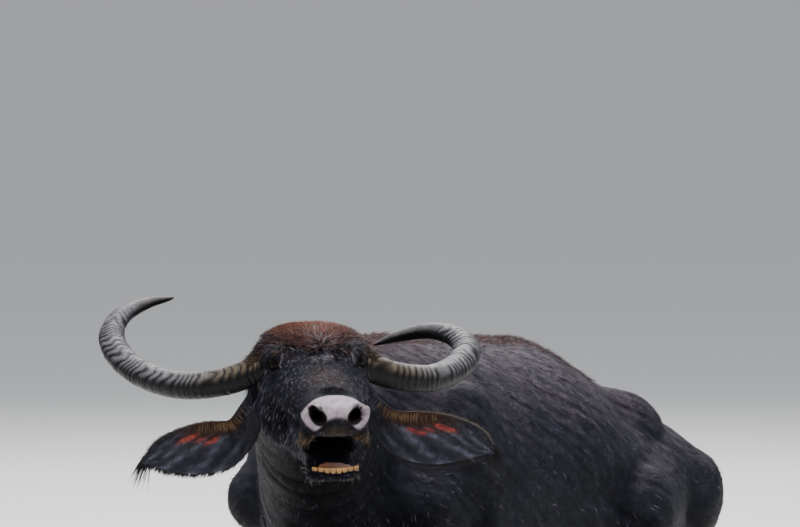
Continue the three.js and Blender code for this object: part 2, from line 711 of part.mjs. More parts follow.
// The fringe: locks round the tip of each ear, from the upper edge to the lower, drooping
const FRINGE = { count: 7, from: 0.92, long: 50, wide: 10, thick: 4, sunk: 14, droop: 0.5, seed: 12 };
function fringe(curve, side, halfAt) {
  const draw = draws(FRINGE.seed);
  return Array.from({ length: FRINGE.count }, (_, i) => {
    const t = (i / (FRINGE.count - 1)) * 2 - 1;
    const u = lerp(FRINGE.from, 0.985, 1 - t * t);
    const at = curve.getPoint(u).toArray();
    const along = curve.getTangent(u).toArray();
    const upward = unit(sub([0, 0, 1], along.map((v) => v * along[2])));
    const root = add(add(at, upward, -t * halfAt(u) * 0.8), along, -FRINGE.sunk);
    const long = FRINGE.long * (0.75 + 0.5 * draw());
    const heading = unit(add(along, upward, -0.6 * t - 0.15));
    const bend = add(root, heading, FRINGE.sunk + long * 0.5);
    const droop = long * FRINGE.droop * (0.5 + draw());
    const tip = add(add(bend, heading, long * 0.42), [0, 0.1 * side, -1], droop);
    return lock(root, bend, tip, [0, 1, 0], FRINGE.wide, FRINGE.thick);
  });
}
function ear(path, side) {
  const curve = curveThrough(path.map((p) => mirror(p, side)));
  const rings = [];
  const wide = EAR_HALF.map((h, i) => [h, EAR_CUP[i]]);
  for (let r = 0; r <= EAR_RINGS; r++) {
    const u = r / EAR_RINGS;
    const at = curve.getPoint(u).toArray();
    const along = curve.getTangent(u).toArray();
    const face = unit(sub([0, -1, 0], along.map((v) => v * -along[1])));
    const upward = side > 0 ? cross(along, face) : cross(face, along);
    const half = smoothStep(wide, u * (EAR_HALF.length - 1), 0);
    const cup = smoothStep(wide, u * (EAR_HALF.length - 1), 1);
    const hollow = clamp((u - 0.1) / 0.25, 0, 1);
    const wall = lerp(cup * 1.7, EAR_THICK, hollow);
    const ring = [];
    for (let i = 0; i < EAR_SIDES; i++) {
      const onBack = i < EAR_SIDES / 2;
      const t = (onBack ? i : EAR_SIDES - 1 - i) / (EAR_SIDES / 2 - 1);
      const across = Math.cos(Math.PI * t);
      const depth = (1 - across * across) * cup;
      const thick = wall * (onBack ? 0.5 : -0.5) * (0.4 + 0.6 * (1 - across ** 4));
      ring.push(add(add(at, upward, half * across), face, cup * 0.5 - depth - thick));
    }
    rings.push(ring);
  }
  const halfAt = (u) => smoothStep(wide, u * (EAR_HALF.length - 1), 0);
  return fringe(curve, side, halfAt).reduce((body, one) => body.add(one), solid(ringed(rings)));
}

// Claws: two to a foot, each a wedge with a flat sole and a straight inner wall
const CLAW_ROWS = [
  [0, 1, 1, 0],
  [0.2, 1.06, 0.98, 0],
  [0.5, 1.02, 0.78, 0],
  [0.8, 0.82, 0.5, 0],
  [1, 0.42, 0.2, 0],
];
const CLAW_OUTLINE = [
  [0, 0], [0, 0.55], [0.1, 0.95], [0.42, 1], [0.76, 0.84], [0.96, 0.4], [0.9, 0], [0.45, 0],
];
function claw(inner) {
  const rings = CLAW_ROWS.map(([along, wide, high]) => CLAW_OUTLINE.map(([x, z]) => [
    inner * (x * wide * CLAW_WIDTH + (1 - wide) * 4 + 3),
    along * CLAW_LENGTH,
    z * high * CLAW_HEIGHT,
  ]));
  return ringed(rings);
}

const CUT_DEPTH = 6;
const legNames = { 1: 'left', '-1': 'right' };
const legCuts = [];
const legPieces = [];
const claws = [];

function foot(prefix, s, fetlock, toe, soleDown) {
  const along = unit(sub(mirror(toe, s), mirror(fetlock, s)));
  const level = unit([along[0], along[1], 0]);
  const at = add(mirror(toe, s), level, CUT_DEPTH);
  const up = [0, 0, soleDown];
  const side = cross(level, up);
  for (const inner of [1, -1]) {
    const lift = soleDown > 0 ? 0 : CLAW_HEIGHT * 1.0;
    const m = new THREE.Matrix4()
      .makeBasis(new THREE.Vector3(...side), new THREE.Vector3(...level), new THREE.Vector3(...up))
      .setPosition(at[0] + level[0] * GAP, at[1] + level[1] * GAP, lift);
    const name = `${prefix}_claw_${inner * s * soleDown > 0 ? 'outer' : 'inner'}`;
    claws.push([name, solid(claw(inner)), m]);
  }
  return { at, normal: level.map((v) => -v) };
}

// Tail: a tapered tube from the tail head down the rump, ending in a tuft on the floor
const TAIL_PATH = [[0, 925, 394], [0, 968, 380], [4, 1012, 345], [10, 1030, 280],
  [18, 1034, 200], [30, 1036, 120], [52, 1040, 60], [95, 1044, 34]];
const TUFT_PATH = [[70, 1042, 40], [96, 1044, 33], [128, 1043, 29], [160, 1037, 25], [192, 1027, 21]];
const TUFT_CUT = { at: [92, 1044, 34], normal: [1, 0, -0.2] };
const tube = (path, radii, count, sides) => {
  const curve = curveThrough(path);
  const widths = radii.map((r) => [r]);
  const rings = Array.from({ length: count + 1 }, (_, r) => {
    const u = r / count;
    const at = curve.getPoint(u).toArray();
    const along = curve.getTangent(u).toArray();
    const side = unit(cross(along, [0.3, 0.2, 1]));
    const up = cross(side, along);
    const size = smoothStep(widths, u * (radii.length - 1), 0);
    return Array.from({ length: sides }, (_v, i) => {
      const turn = (TAU * i) / sides;
      return add(add(at, side, size * Math.cos(turn)), up, size * Math.sin(turn));
    });
  });
  return solid(ringed(rings));
};
const tail = tube(TAIL_PATH, [24, 37, 34, 30, 27, 25, 24, 22], 14, 8);
// The switch: locks rooted round the tuft's core that lie along the floor and fan out a little
const SWITCH = { count: 13, long: 200, wide: 26, thick: 11, fan: 0.24, low: 6, seed: 3 };
function switchLocks() {
  const draw = draws(SWITCH.seed);
  const curve = curveThrough(TUFT_PATH);
  return Array.from({ length: SWITCH.count }, (_, i) => {
    const share = (i + 0.5) / SWITCH.count;
    const at = curve.getPoint(0.36 + 0.5 * draw()).toArray();
    const along = curve.getTangent(0.6).toArray();
    const across = unit([along[1], -along[0], 0]);
    const spread = (share * 2 - 1) * SWITCH.fan;
    const root = add(add(at, across, spread * 50), [0, 0, 1], 16 * (draw() - 0.4));
    const long = SWITCH.long * (0.7 + 0.4 * draw());
    const low = (p) => [p[0], p[1], Math.max(p[2], SWITCH.low)];
    const bend = low(add(add(root, along, long * 0.5), across, spread * long * 0.4));
    const tip = low(add(add(bend, along, long * 0.45), across, (spread * 1.3 - 0.12) * long * 0.8));
    return lock(root, bend, [tip[0], tip[1], SWITCH.low + 12 * draw()], [0, 0, 1], SWITCH.wide, SWITCH.thick);
  });
}
const tuftCore = tube(TUFT_PATH, [20, 24, 29, 27, 12], 7, 8);
const tuftWhole = switchLocks().reduce((body, one) => body.add(one), tuftCore);
const tuft = onFloor(keep(tuftWhole, TUFT_CUT.normal, TUFT_CUT.at));

for (const s of [1, -1]) {
  const fore = `foreleg_${legNames[s]}`;
  const foreGrid = [
    s > 0 ? steps(60, 350, 42) : steps(-350, -60, 42),
    steps(-900, -340, 46),
    steps(-30, 280, 40),
  ];
  const foreCut = foot(fore, s, FORE.fetlock, FORE.toe, -1);
  const foreAll = solid(surface(forelegField(s), ...foreGrid));
  const foreLeg = keep(onFloor(foreAll), [0, -1, 0], [0, -432, 0]);
  const foldNormal = mirror([0.69, -0.103, -0.72], s);
  const foldPoint = mirror([214, -640, 76], s);
  const [cannon, forearm] = parted(foreLeg, foldNormal, foldPoint);
  legPieces.push([`${fore}_forearm`, forearm], [`${fore}_cannon`, keep(cannon, foreCut.normal, foreCut.at)]);
  legCuts.push(pocketOf(foreLeg));

  const hind = `hindleg_${legNames[s]}`;
  const hindGrid = [
    s > 0 ? steps(120, 500, 56) : steps(-500, -120, 56),
    steps(150, 860, 62),
    steps(-40, 560, 50),
  ];
  const hindCut = foot(hind, s, HIND.fetlock, HIND.toe, 1);
  const INNER = mirror([0.93, 0.3, -0.1], s);
  const innerAt = mirror([262, 480, 250], s);
  const hindAll = solid(surface(hindlegField(s), ...hindGrid));
  const hindLeg = keep(onFloor(hindAll), INNER, innerAt);
  const [thigh, below] = parted(hindLeg, [0, 0.1, 1], [0, 300, 214]);
  const [shank, lower] = parted(below, mirror([-0.1, 0.25, 1], s), mirror([350, 430, 104], s));
  legPieces.push([`${hind}_thigh`, thigh], [`${hind}_shank`, shank]);
  legPieces.push([`${hind}_foot`, keep(lower, hindCut.normal, hindCut.at)]);
  legCuts.push(pocketOf(hindLeg));
}
const torso = [...legCuts, pocketOf(tail)].reduce((body, cut) => body.subtract(cut), trunk);
place('torso', torso, MAT.hide);
for (const [name, body] of legPieces) {
  const crossing = body.intersect(torso).volume() > 0;
  place(name, crossing ? body.subtract(torso) : body, MAT.hide);
}
place('tail', keep(tail, opposite(TUFT_CUT.normal), TUFT_CUT.at), MAT.hide);
place('tail_tuft', tuft, MAT.hair);
const horns = { left: horn(HORN_PATH.left, 1), right: horn(HORN_PATH.right, -1) };
const ears = { left: ear(EAR_PATH.left, 1), right: ear(EAR_PATH.right, -1) };
let neckWhole = neck;
for (const grown of [horns.left, horns.right, ears.left, ears.right]) {
  skullWhole = skullWhole.subtract(pocketOf(grown));
  neckWhole = neckWhole.subtract(pocketOf(grown, headMatrix));
}
place('neck', neckWhole, MAT.hide);
place('head', skullWhole, MAT.hide, headMatrix);
place('jaw', jawWhole, MAT.hide, headMatrix);
place('tongue', tongue, MAT.tongue, headMatrix);
for (const s of [1, -1]) {
  const name = legNames[s];
  place(`eye_${name}`, eyeBall(s, 0), MAT.eye, headMatrix);
  place(`horn_${name}`, horns[name], MAT.horn, headMatrix);
  place(`ear_${name}`, ears[name], MAT.ear, headMatrix);
}
for (const [name, body, m] of claws) place(name, body, MAT.hoof, m);

export default group;
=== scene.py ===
"""A water buffalo cow lying on its chest, head raised and mouth open: the looks round the frame.

One skin covers the trunk, neck, head, jaw, legs and tail. It is meshed from the same distance
fields as the solids, in millimetres, and lies inside them by the depth of the coat. Horns,
ears, eyes, claws, tongue and teeth are pieces of their own, and the hair is solid locks.
"""
from functools import partial

import bpy
import numpy as np
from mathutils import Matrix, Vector


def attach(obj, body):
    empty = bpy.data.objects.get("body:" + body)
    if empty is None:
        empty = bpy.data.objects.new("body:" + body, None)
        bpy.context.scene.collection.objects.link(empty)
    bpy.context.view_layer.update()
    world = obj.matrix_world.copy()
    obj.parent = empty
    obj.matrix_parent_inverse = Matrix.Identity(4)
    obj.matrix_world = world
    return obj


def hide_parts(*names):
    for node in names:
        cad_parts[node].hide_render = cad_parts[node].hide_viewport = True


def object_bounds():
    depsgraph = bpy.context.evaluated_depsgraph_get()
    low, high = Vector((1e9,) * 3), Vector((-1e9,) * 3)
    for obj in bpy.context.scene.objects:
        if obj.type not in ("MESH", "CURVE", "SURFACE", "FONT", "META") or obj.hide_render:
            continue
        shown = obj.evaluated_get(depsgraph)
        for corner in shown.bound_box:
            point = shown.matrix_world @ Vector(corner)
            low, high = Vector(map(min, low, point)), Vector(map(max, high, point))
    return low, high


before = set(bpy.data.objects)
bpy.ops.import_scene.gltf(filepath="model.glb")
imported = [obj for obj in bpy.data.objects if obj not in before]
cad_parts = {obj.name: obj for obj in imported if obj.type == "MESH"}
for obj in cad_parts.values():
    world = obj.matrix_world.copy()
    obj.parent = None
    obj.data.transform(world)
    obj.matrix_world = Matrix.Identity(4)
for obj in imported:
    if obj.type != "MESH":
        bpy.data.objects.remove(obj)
cad_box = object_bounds()

MM = 0.001

# How far the skin stays inside the solids and above the floor, in millimetres
COAT = 4.0
FLOOR_GAP = 1.0

# Driving sizes, in millimetres, as in the solids
EYE_AT = (94, 5, 1)
EYE_RADIUS = 23
EYE_LOOK = np.radians(42)
HORN_RADIUS = 38
CLAW_LENGTH = 96
CLAW_WIDTH = 50
CLAW_HEIGHT = 62
HEAD_AT = np.array([423.0, -1427.0, 711.0])
HEAD_TURN = np.radians(39.5)
HEAD_NOD = np.radians(13.6)
HEAD_ROLL = np.radians(1.5)
TAU = 2 * np.pi


# Vectors
def unit(v):
    v = np.asarray(v, float)
    return v / np.maximum(np.linalg.norm(v, axis=-1, keepdims=True), 1e-12)


def dots(a, b):
    """The dot product of each row with its partner."""
    return np.einsum("ij,ij->i", a, b)


def along_skin(way, n):
    """The part of each way that lies in the surface with the normals n, as unit vectors."""
    return unit(way - n * dots(way, n)[:, None])


def around(sides):
    """The angles of the corners of a ring."""
    return TAU * np.arange(sides) / sides


def mirror(p, s):
    return (p[0] * s, p[1], p[2])


def folded(q):
    """The points with the right side laid over the left one."""
    out = q.copy()
    out[:, 0] = np.abs(out[:, 0])
    return out


def shifted(p, q):
    return tuple(a + b for a, b in zip(p, q))


def step_between(low, high, x):
    """A smooth step from 0 at low to 1 at high."""
    t = np.clip((x - low) / (high - low), 0, 1)
    return t * t * (3 - 2 * t)


def near_point(p, at, radius):
    """1 at a point, falling smoothly to 0 at the radius, which may differ along each axis."""
    d = np.linalg.norm((p - np.asarray(at, float)) / radius, axis=1)
    return 1 - step_between(0, 1, d)


def head_axes():
    """The head's axes as rows: its left, from the nose to the crown, and out of the forehead."""
    level = np.array([np.sin(HEAD_TURN), -np.cos(HEAD_TURN), 0.0])
    forward = np.array([*(level[:2] * np.cos(HEAD_NOD)), -np.sin(HEAD_NOD)])
    flat = np.cross([0, 0, 1], level)
    crown = np.cross(forward, flat)
    left = flat * np.cos(HEAD_ROLL) + crown * np.sin(HEAD_ROLL)
    return np.stack([left, -forward, np.cross(forward, left)])


HEAD_AXES = head_axes()


def from_head(p):
    """Points in the head's frame put in the model's."""
    return np.asarray(p, float) @ HEAD_AXES + HEAD_AT


def to_head(p):
    return (np.asarray(p, float) - HEAD_AT) @ HEAD_AXES.T


# Distance fields: each is a function of points that is negative inside
FAR = 1000.0
REACH = 100.0
HEAD_PART_REACH = 60.0


def blend(a, b, k):
    """Two fields joined, with a fillet about k wide."""
    h = np.maximum(k - np.abs(a - b), 0) / k
    return np.minimum(a, b) - h * h * k * 0.25


def carve(a, b, k):
    """What is left of a once b is cut from it, with an edge rounded by k."""
    return -blend(-a, b, k)


def only_in(low, high, field, reach=REACH):
    """The field near its own box, and a large distance elsewhere."""
    low = np.asarray(low, float) - reach
    high = np.asarray(high, float) + reach

    def near(p):
        out = np.full(len(p), FAR)
        at = np.nonzero(((p > low) & (p < high)).all(1))[0]
        if len(at):
            out[at] = field(p[at])
        return out
    return near


def limb(a, ra, b, rb, reach=REACH):
    """A tapered bar with round ends, from a to b."""
    a, b = np.asarray(a, float), np.asarray(b, float)
    ab = b - a
    span = ab @ ab
    big = max(ra, rb)

    def field(p):
        t = np.clip((p - a) @ ab / span, 0, 1)
        return np.linalg.norm(p - a - t[:, None] * ab, axis=1) - (ra + (rb - ra) * t)
    return only_in(np.minimum(a, b) - big, np.maximum(a, b) + big, field, reach)


head_limb = partial(limb, reach=HEAD_PART_REACH)


def turned(angles):
    """A matrix of turns about x, y and z, in degrees."""
    x, y, z = np.radians(angles)
    cx, sx, cy, sy, cz, sz = np.cos(x), np.sin(x), np.cos(y), np.sin(y), np.cos(z), np.sin(z)
    rx = np.array([[1, 0, 0], [0, cx, -sx], [0, sx, cx]])
    ry = np.array([[cy, 0, sy], [0, 1, 0], [-sy, 0, cy]])
    rz = np.array([[cz, -sz, 0], [sz, cz, 0], [0, 0, 1]])
    return rx @ ry @ rz


def oval(at, size, turn=(0, 0, 0), reach=REACH):
    """An ellipsoid with the half sizes given, turned in degrees."""
    at, size = np.asarray(at, float), np.asarray(size, float)
    m = turned(turn)

    def field(p):
        q = (p - at) @ m
        near = np.linalg.norm(q / size, axis=1)
        slope = np.linalg.norm(q / size ** 2, axis=1)
        return near * (near - 1) / np.maximum(slope, 1e-9)
    return only_in(at - size.max(), at + size.max(), field, reach)


head_oval = partial(oval, reach=HEAD_PART_REACH)


def smooth_rows(rows, t):
    """Catmull-Rom through the rows, at t counted in rows."""
    rows = np.asarray(rows, float)
    s = np.clip(np.floor(t).astype(int), 0, len(rows) - 2)
    f = (t - s)[:, None]
    a, b, c, d = (rows[np.clip(s + k, 0, len(rows) - 1)] for k in (-1, 0, 1, 2))
    return b + 0.5 * f * (c - a + f * (2 * a - 5 * b + 4 * c - d + f * (3 * (b - c) + d - a)))


LOFT_STEPS = 4
LOFT_WINDOW = 260.0


def loft(stations, power_down, cap):
    """A form swept along stations of (x, y, z, half width, rise, drop, power). The section is a
    superellipse with the station's power above its middle and one power below it."""
    count = (len(stations) - 1) * LOFT_STEPS
    rows = smooth_rows(stations, np.arange(count + 1) / LOFT_STEPS)
    axis = unit(rows[-1, :3] - rows[0, :3])
    marks = rows[:, :3] @ axis
    starts = rows[:-1, :3]
    spans = rows[1:, :3] - starts
    along = unit(spans)
    side = unit(np.cross(along, [0.0, 0.0, 1.0]))
    up = np.cross(side, along)
    square = (spans ** 2).sum(1)

    def field(p):
        order = np.argsort(p @ axis)
        p = p[order]
        s = p @ axis
        best = np.full(len(p), np.inf)
        which = np.zeros(len(p), int)
        share = np.zeros(len(p))
        for k in range(count):
            low = -np.inf if k == 0 else marks[k] - LOFT_WINDOW
            high = np.inf if k == count - 1 else marks[k + 1] + LOFT_WINDOW
            i, j = np.searchsorted(s, [low, high])
            if i >= j:
                continue
            from_start = p[i:j] - starts[k]
            t = np.clip(from_start @ spans[k] / square[k], 0, 1)
            away = from_start - t[:, None] * spans[k]
            dd = dots(away, away)
            nearer = dd < best[i:j]
            best[i:j][nearer] = dd[nearer]
            which[i:j][nearer] = k
            share[i:j][nearer] = t[nearer]
        d = p - starts[which] - share[:, None] * spans[which]
        at = rows[which] + (rows[which + 1] - rows[which]) * share[:, None]
        x = np.abs(dots(d, side[which])) / at[:, 3]
        z = dots(d, up[which])
        power = np.where(z > 0, at[:, 6], power_down)
        high_or_low = np.where(z > 0, at[:, 4], at[:, 5])
        ring = (x ** power + (np.abs(z) / high_or_low) ** power) ** (1 / power)
        past_end = ((which == 0) & (share <= 0)) | ((which == count - 1) & (share >= 1))
        over = np.where(past_end, np.abs(dots(d, along[which])) / cap, 0)
        g = np.maximum(np.hypot(ring, over), 1e-6)
        out = np.empty(len(p))
        out[order] = np.sqrt(best) * (1 - 1 / g)
        return out
    wide = rows[:, 3:6].max()
    return only_in(rows[:, :3].min(0) - wide, rows[:, :3].max(0) + wide, field)


def joined(parts):
    """Fields blended one after another, each with its own fillet."""
    def field(p):
        d = None
        for part, k in parts:
            f = part(p)
            d = f if d is None else blend(d, f, k)
        return d
    return field


def near_joints(places, margin, field):
    """The field near a leg's joints, and a large distance elsewhere."""
    at = np.array(list(places.values()), float)
    return only_in(at.min(0) - margin, at.max(0) + margin, field)


def each_side(make):
    """The rows made for the left side, then those for the right."""
    return [row for s in (1, -1) for row in make(s)]


# The trunk, with the spine as a low ridge from the withers to the tail head
SPINE = [(0, -470, 678), (0, 230, 650), (0, 390, 622), (0, 560, 562), (0, 760, 486)]
SPINE_RADIUS = 26
spine_ridge = joined([
    (limb(a, SPINE_RADIUS, b, SPINE_RADIUS), 6) for a, b in zip(SPINE, SPINE[1:])
])
trunk_field = joined([
    (loft([
        (0, -680, 300, 140, 262, 250, 1.9),
        (0, -600, 330, 228, 330, 322, 1.9),
        (0, -500, 370, 305, 338, 380, 1.9),
        (0, -415, 390, 342, 325, 405, 1.85),
        (0, -200, 390, 364, 320, 425, 1.85),
        (0, 50, 388, 382, 308, 430, 1.8),
        (0, 215, 385, 374, 304, 425, 1.62),
        (0, 380, 378, 340, 268, 410, 1.4),
        (0, 520, 362, 312, 226, 385, 1.25),
        (0, 640, 335, 280, 200, 345, 1.35),
        (0, 760, 300, 240, 200, 295, 1.5),
        (0, 870, 275, 185, 195, 240, 1.6),
        (0, 950, 262, 120, 160, 190, 1.8),
    ], 2.6, 40), 1),
    *each_side(lambda s: [
        (oval((s * 232, -455, 415), (92, 150, 205), (12, s * 14, s * -8)), 70),
        (limb((s * 235, -600, 320), 92, (s * 205, -470, 205), 84), 60),
        (oval((s * 196, 505, 480), (78, 112, 58), (0, s * 34, 0)), 70),
        (limb((s * 185, 560, 400), 80, (s * 225, 690, 262), 140), 80),
        (oval((s * 200, 670, 265), (150, 185, 150), (0, 0, s * 8)), 60),
        (oval((s * 85, 885, 375), (55, 55, 60)), 50),
    ]),
    (spine_ridge, 60),
    (limb((0, 845, 425), 58, (0, 955, 385), 40), 50),
    (oval((0, -640, 175), (130, 150, 170)), 70),
])

# The neck, from the trunk to the back of the skull
neck_field = loft([
    (0, -520, 400, 235, 290, 330, 2),
    (22, -690, 452, 188, 232, 320, 2),
    (98, -880, 520, 158, 172, 232, 2),
    (200, -1085, 590, 140, 134, 160, 2),
    (292, -1262, 652, 126, 110, 122, 2),
], 2.2, 60)

# The head, in its own frame and alike on both sides
skull = loft([
    (0, 215, -78, 70, 72, 70, 2.6),
    (0, 165, -52, 110, 94, 92, 2.8),
    (0, 125, -45, 125, 103, 95, 2.9),
    (0, 70, -45, 127, 97, 100, 2.8),
    (0, 0, -45, 119, 76, 92, 2.6),
    (0, -80, -50, 95, 68, 66, 2.4),
    (0, -160, -50, 78, 60, 60, 2.4),
    (0, -240, -52, 74, 56, 44, 2.6),
    (0, -290, -51, 80, 49, 42, 2.7),
    (0, -316, -49, 76, 38, 42, 2.6),
], 2.6, 27)
lower_jaw = loft([
    (0, 85, -165, 84, 60, 50, 2.6),
    (0, 35, -172, 90, 60, 62, 2.6),
    (0, -40, -178, 80, 50, 52, 2.6),
    (0, -110, -178, 66, 44, 43, 2.6),
    (0, -185, -184, 58, 32, 34, 2.6),
    (0, -238, -191, 64, 18, 27, 2.6),
    (0, -268, -195, 68, 11, 20, 2.6),
], 2.3, 24)
mouth_space = loft([
    (0, -380, -142, 96, 50, 42, 1.8),
    (0, -330, -142, 92, 46, 40, 1.8),
    (0, -285, -142, 90, 43, 38, 1.8),
    (0, -255, -141, 78, 33, 33, 1.9),
    (0, -228, -139, 54, 24, 26, 2),
    (0, -170, -136, 38, 8, 8, 2),
], 2.3, 20)
face_flesh = joined([
    (skull, 1),
    (head_oval((82, 62, -118), (50, 92, 104)), 30),
    (head_oval((88, 14, 2), (30, 42, 35), (0, 0, -14)), 22),
    (head_oval((86, 108, 0), (44, 44, 40)), 26),
    (head_limb((64, 4, 26), 16, (108, 40, 14), 14), 22),
    (head_limb((82, -30, -58), 26, (64, -140, -66), 18), 24),
    (lower_jaw, 18),
    (head_limb((34, -60, -126), 42, (42, -208, -136), 32), 26),
    (head_oval((62, -272, -92), (22, 48, 40), (0, 0, 10)), 18),
    (head_oval((51, -316, -32), (28, 20, 27)), 14),
    (head_limb((80, 90, -20), 44, (128, 88, -37), 39), 22),
    (head_limb((84, 128, -82), 42, (120, 120, -110), 34), 22),
])

# The eye looks out to the side and a little forward. The lids are a cap round the ball with
# an almond opening, which the angle along the lids and the angle across them measure.
LOOK = np.array([np.cos(EYE_LOOK), -np.sin(EYE_LOOK), 0.03])
LOOK_BACK = np.array([np.sin(EYE_LOOK), np.cos(EYE_LOOK), 0.0])
LID_THICK = 4.2
LID_HALF_LONG = 1.02
LID_HALF_HIGH = 0.55


def eye_angles(q):
    d = q - EYE_AT
    out = np.maximum(d @ unit(LOOK), 1e-6)
    return np.arctan2(d @ LOOK_BACK, out), np.arctan2(d[:, 2], out), np.linalg.norm(d, axis=1)


def lid_gap(q):
    """How far a point's direction from the eye is inside the almond: over 0 inside it."""
    along, across, _ = eye_angles(q)
    share = np.clip(along / LID_HALF_LONG, -1, 1)
    room = LID_HALF_HIGH * (1 - share ** 2) * np.where(across > 0, 1.05, 0.85)
    return room - np.abs(across - 0.05 * share)


def with_eye(face, q):
    """The face with its lids, and with the opening cut through them."""
    near = np.nonzero((np.abs(q - EYE_AT) < 75).all(1))[0]
    if not len(near):
        return face
    at = q[near]
    _, _, radius = eye_angles(at)
    cap = radius - (EYE_RADIUS + LID_THICK)
    lid = blend(face[near], cap, 9)
    room = lid_gap(at) * radius
    ahead = (at - EYE_AT) @ unit(LOOK)
    opening = np.maximum(-room, 6 - ahead)
    inner = radius - (EYE_RADIUS + LID_THICK + 26)
    cut = np.maximum(opening, inner)
    out = face.copy()
    out[near] = carve(lid, cut, 3)
    return out


# Nostrils: slanting commas, narrow above and outside, with a raised wing round them
nostril = joined([
    (head_limb((58, -320, -17), 4, (52, -331, -25), 8), 1),
    (head_limb((52, -331, -25), 8, (41, -342, -38), 11), 6),
    (head_limb((44, -338, -35), 11, (48, -296, -37), 9), 6),
])
nose_wing = joined([
    (head_limb((66, -306, -8), 8, (74, -302, -30), 10), 1),
    (head_limb((74, -302, -30), 10, (62, -318, -54), 11), 4),
    (head_limb((62, -318, -54), 11, (38, -330, -62), 9), 4),
])


def head_field(p):
    q = folded(p)
    face = with_eye(blend(face_flesh(q), nose_wing(q), 14), q)
    face = carve(face, mouth_space(q), 10)
    return carve(face, nostril(q), 5)


# The legs, each given for the left side with the joints from the top down
FORE = dict(elbow=(190, -445, 172), knee=(158, -822, 48), fetlock=(254, -628, 41),
            toe=(292, -540, 38))
HIND = dict(hip=(165, 640, 300), stifle=(332, 300, 256), hock=(262, 722, 55),
            fetlock=(398, 430, 43), toe=(438, 348, 40))


def on_side(leg, s):
    return {joint: mirror(at, s) for joint, at in leg.items()}


def end_of(leg, s):
    """A leg's toe, and the level way to it from the fetlock."""
    fetlock, toe = (np.array(mirror(leg[joint], s), float) for joint in ("fetlock", "toe"))
    return toe, unit((toe - fetlock) * (1, 1, 0))


def foreleg_field(s):
    at = on_side(FORE, s)
    below_knee = mirror(shifted(FORE["knee"], (14, 30, -8)), s)
    return near_joints(at, 80, joined([
        (limb(at["elbow"], 78, at["knee"], 46), 1),
        (oval(at["knee"], (49, 58, 50)), 20),
        (limb(below_knee, 36, at["fetlock"], 33), 30),
        (oval(at["fetlock"], (42, 48, 42), (0, 0, s * -25)), 14),
        (limb(at["fetlock"], 38, at["toe"], 36), 12),
    ]))


def hindleg_field(s):
    at = on_side(HIND, s)
    return near_joints(at, 160, joined([
        (limb(at["hip"], 160, at["stifle"], 112), 1),
        (limb(at["stifle"], 96, at["hock"], 52), 60),
        (oval(mirror(shifted(HIND["hock"], (-4, 18, 6)), s), (46, 62, 54)), 16),
        (limb(at["hock"], 42, at["fetlock"], 36), 40),
        (oval(at["fetlock"], (43, 50, 43), (0, 0, s * 25)), 14),
        (limb(at["fetlock"], 40, at["toe"], 38), 12),
    ]))


legs_field = joined([
    *each_side(lambda s: [(foreleg_field(s), 10), (hindleg_field(s), 10)]),
])

# The tail hangs from the tail head and turns along the floor
TAIL_PATH = [(0, 925, 394), (0, 968, 380), (4, 1012, 345), (10, 1030, 280),
             (18, 1034, 200), (30, 1036, 120), (52, 1040, 60), (95, 1044, 34)]
TAIL_RADII = (24, 37, 34, 30, 27, 25, 24, 22)
TAIL = list(zip(TAIL_PATH, TAIL_RADII))
tail_field = joined([(limb(*upper, *lower), 12) for upper, lower in zip(TAIL, TAIL[1:])])


def toe_cut(p):
    """Over 0 past the plane where each foot ends and its claws begin."""
    out = np.full(len(p), -FAR)
    for s in (1, -1):
        for leg in (FORE, HIND):
            toe, level = end_of(leg, s)
            near = np.linalg.norm(p - toe, axis=1) < 110
            out = np.where(near, np.maximum(out, (p - toe) @ level - 4), out)
    return out


HEAD_REACH = 420.0


def flesh_field(p):
    """The animal's form as the solids have it."""
    body = blend(trunk_field(p), neck_field(p), 90)
    q = to_head(p)
    at = np.nonzero(np.linalg.norm(q - (0, -60, -60), axis=1) < HEAD_REACH)[0]
    if len(at):
        body[at] = blend(body[at], head_field(q[at]), 45)
    body = blend(body, legs_field(p), 24)
    return blend(body, tail_field(p), 22)


def skin_field(p):
    """The form inside by the coat's depth, without claws and off the floor."""
    out = flesh_field(p) + COAT
    out = np.maximum(out, toe_cut(p))
    return np.maximum(out, FLOOR_GAP - p[:, 2])


# Meshing. The cells that the surface crosses each get one point.
NET_MARGIN = 1.9
CORNERS = np.array([(i, j, k) for i in (0, 1) for j in (0, 1) for k in (0, 1)])
CELL_EDGES = [(a, b) for a in range(8) for b in range(a + 1, 8)
              if np.abs(CORNERS[a] - CORNERS[b]).sum() == 1]


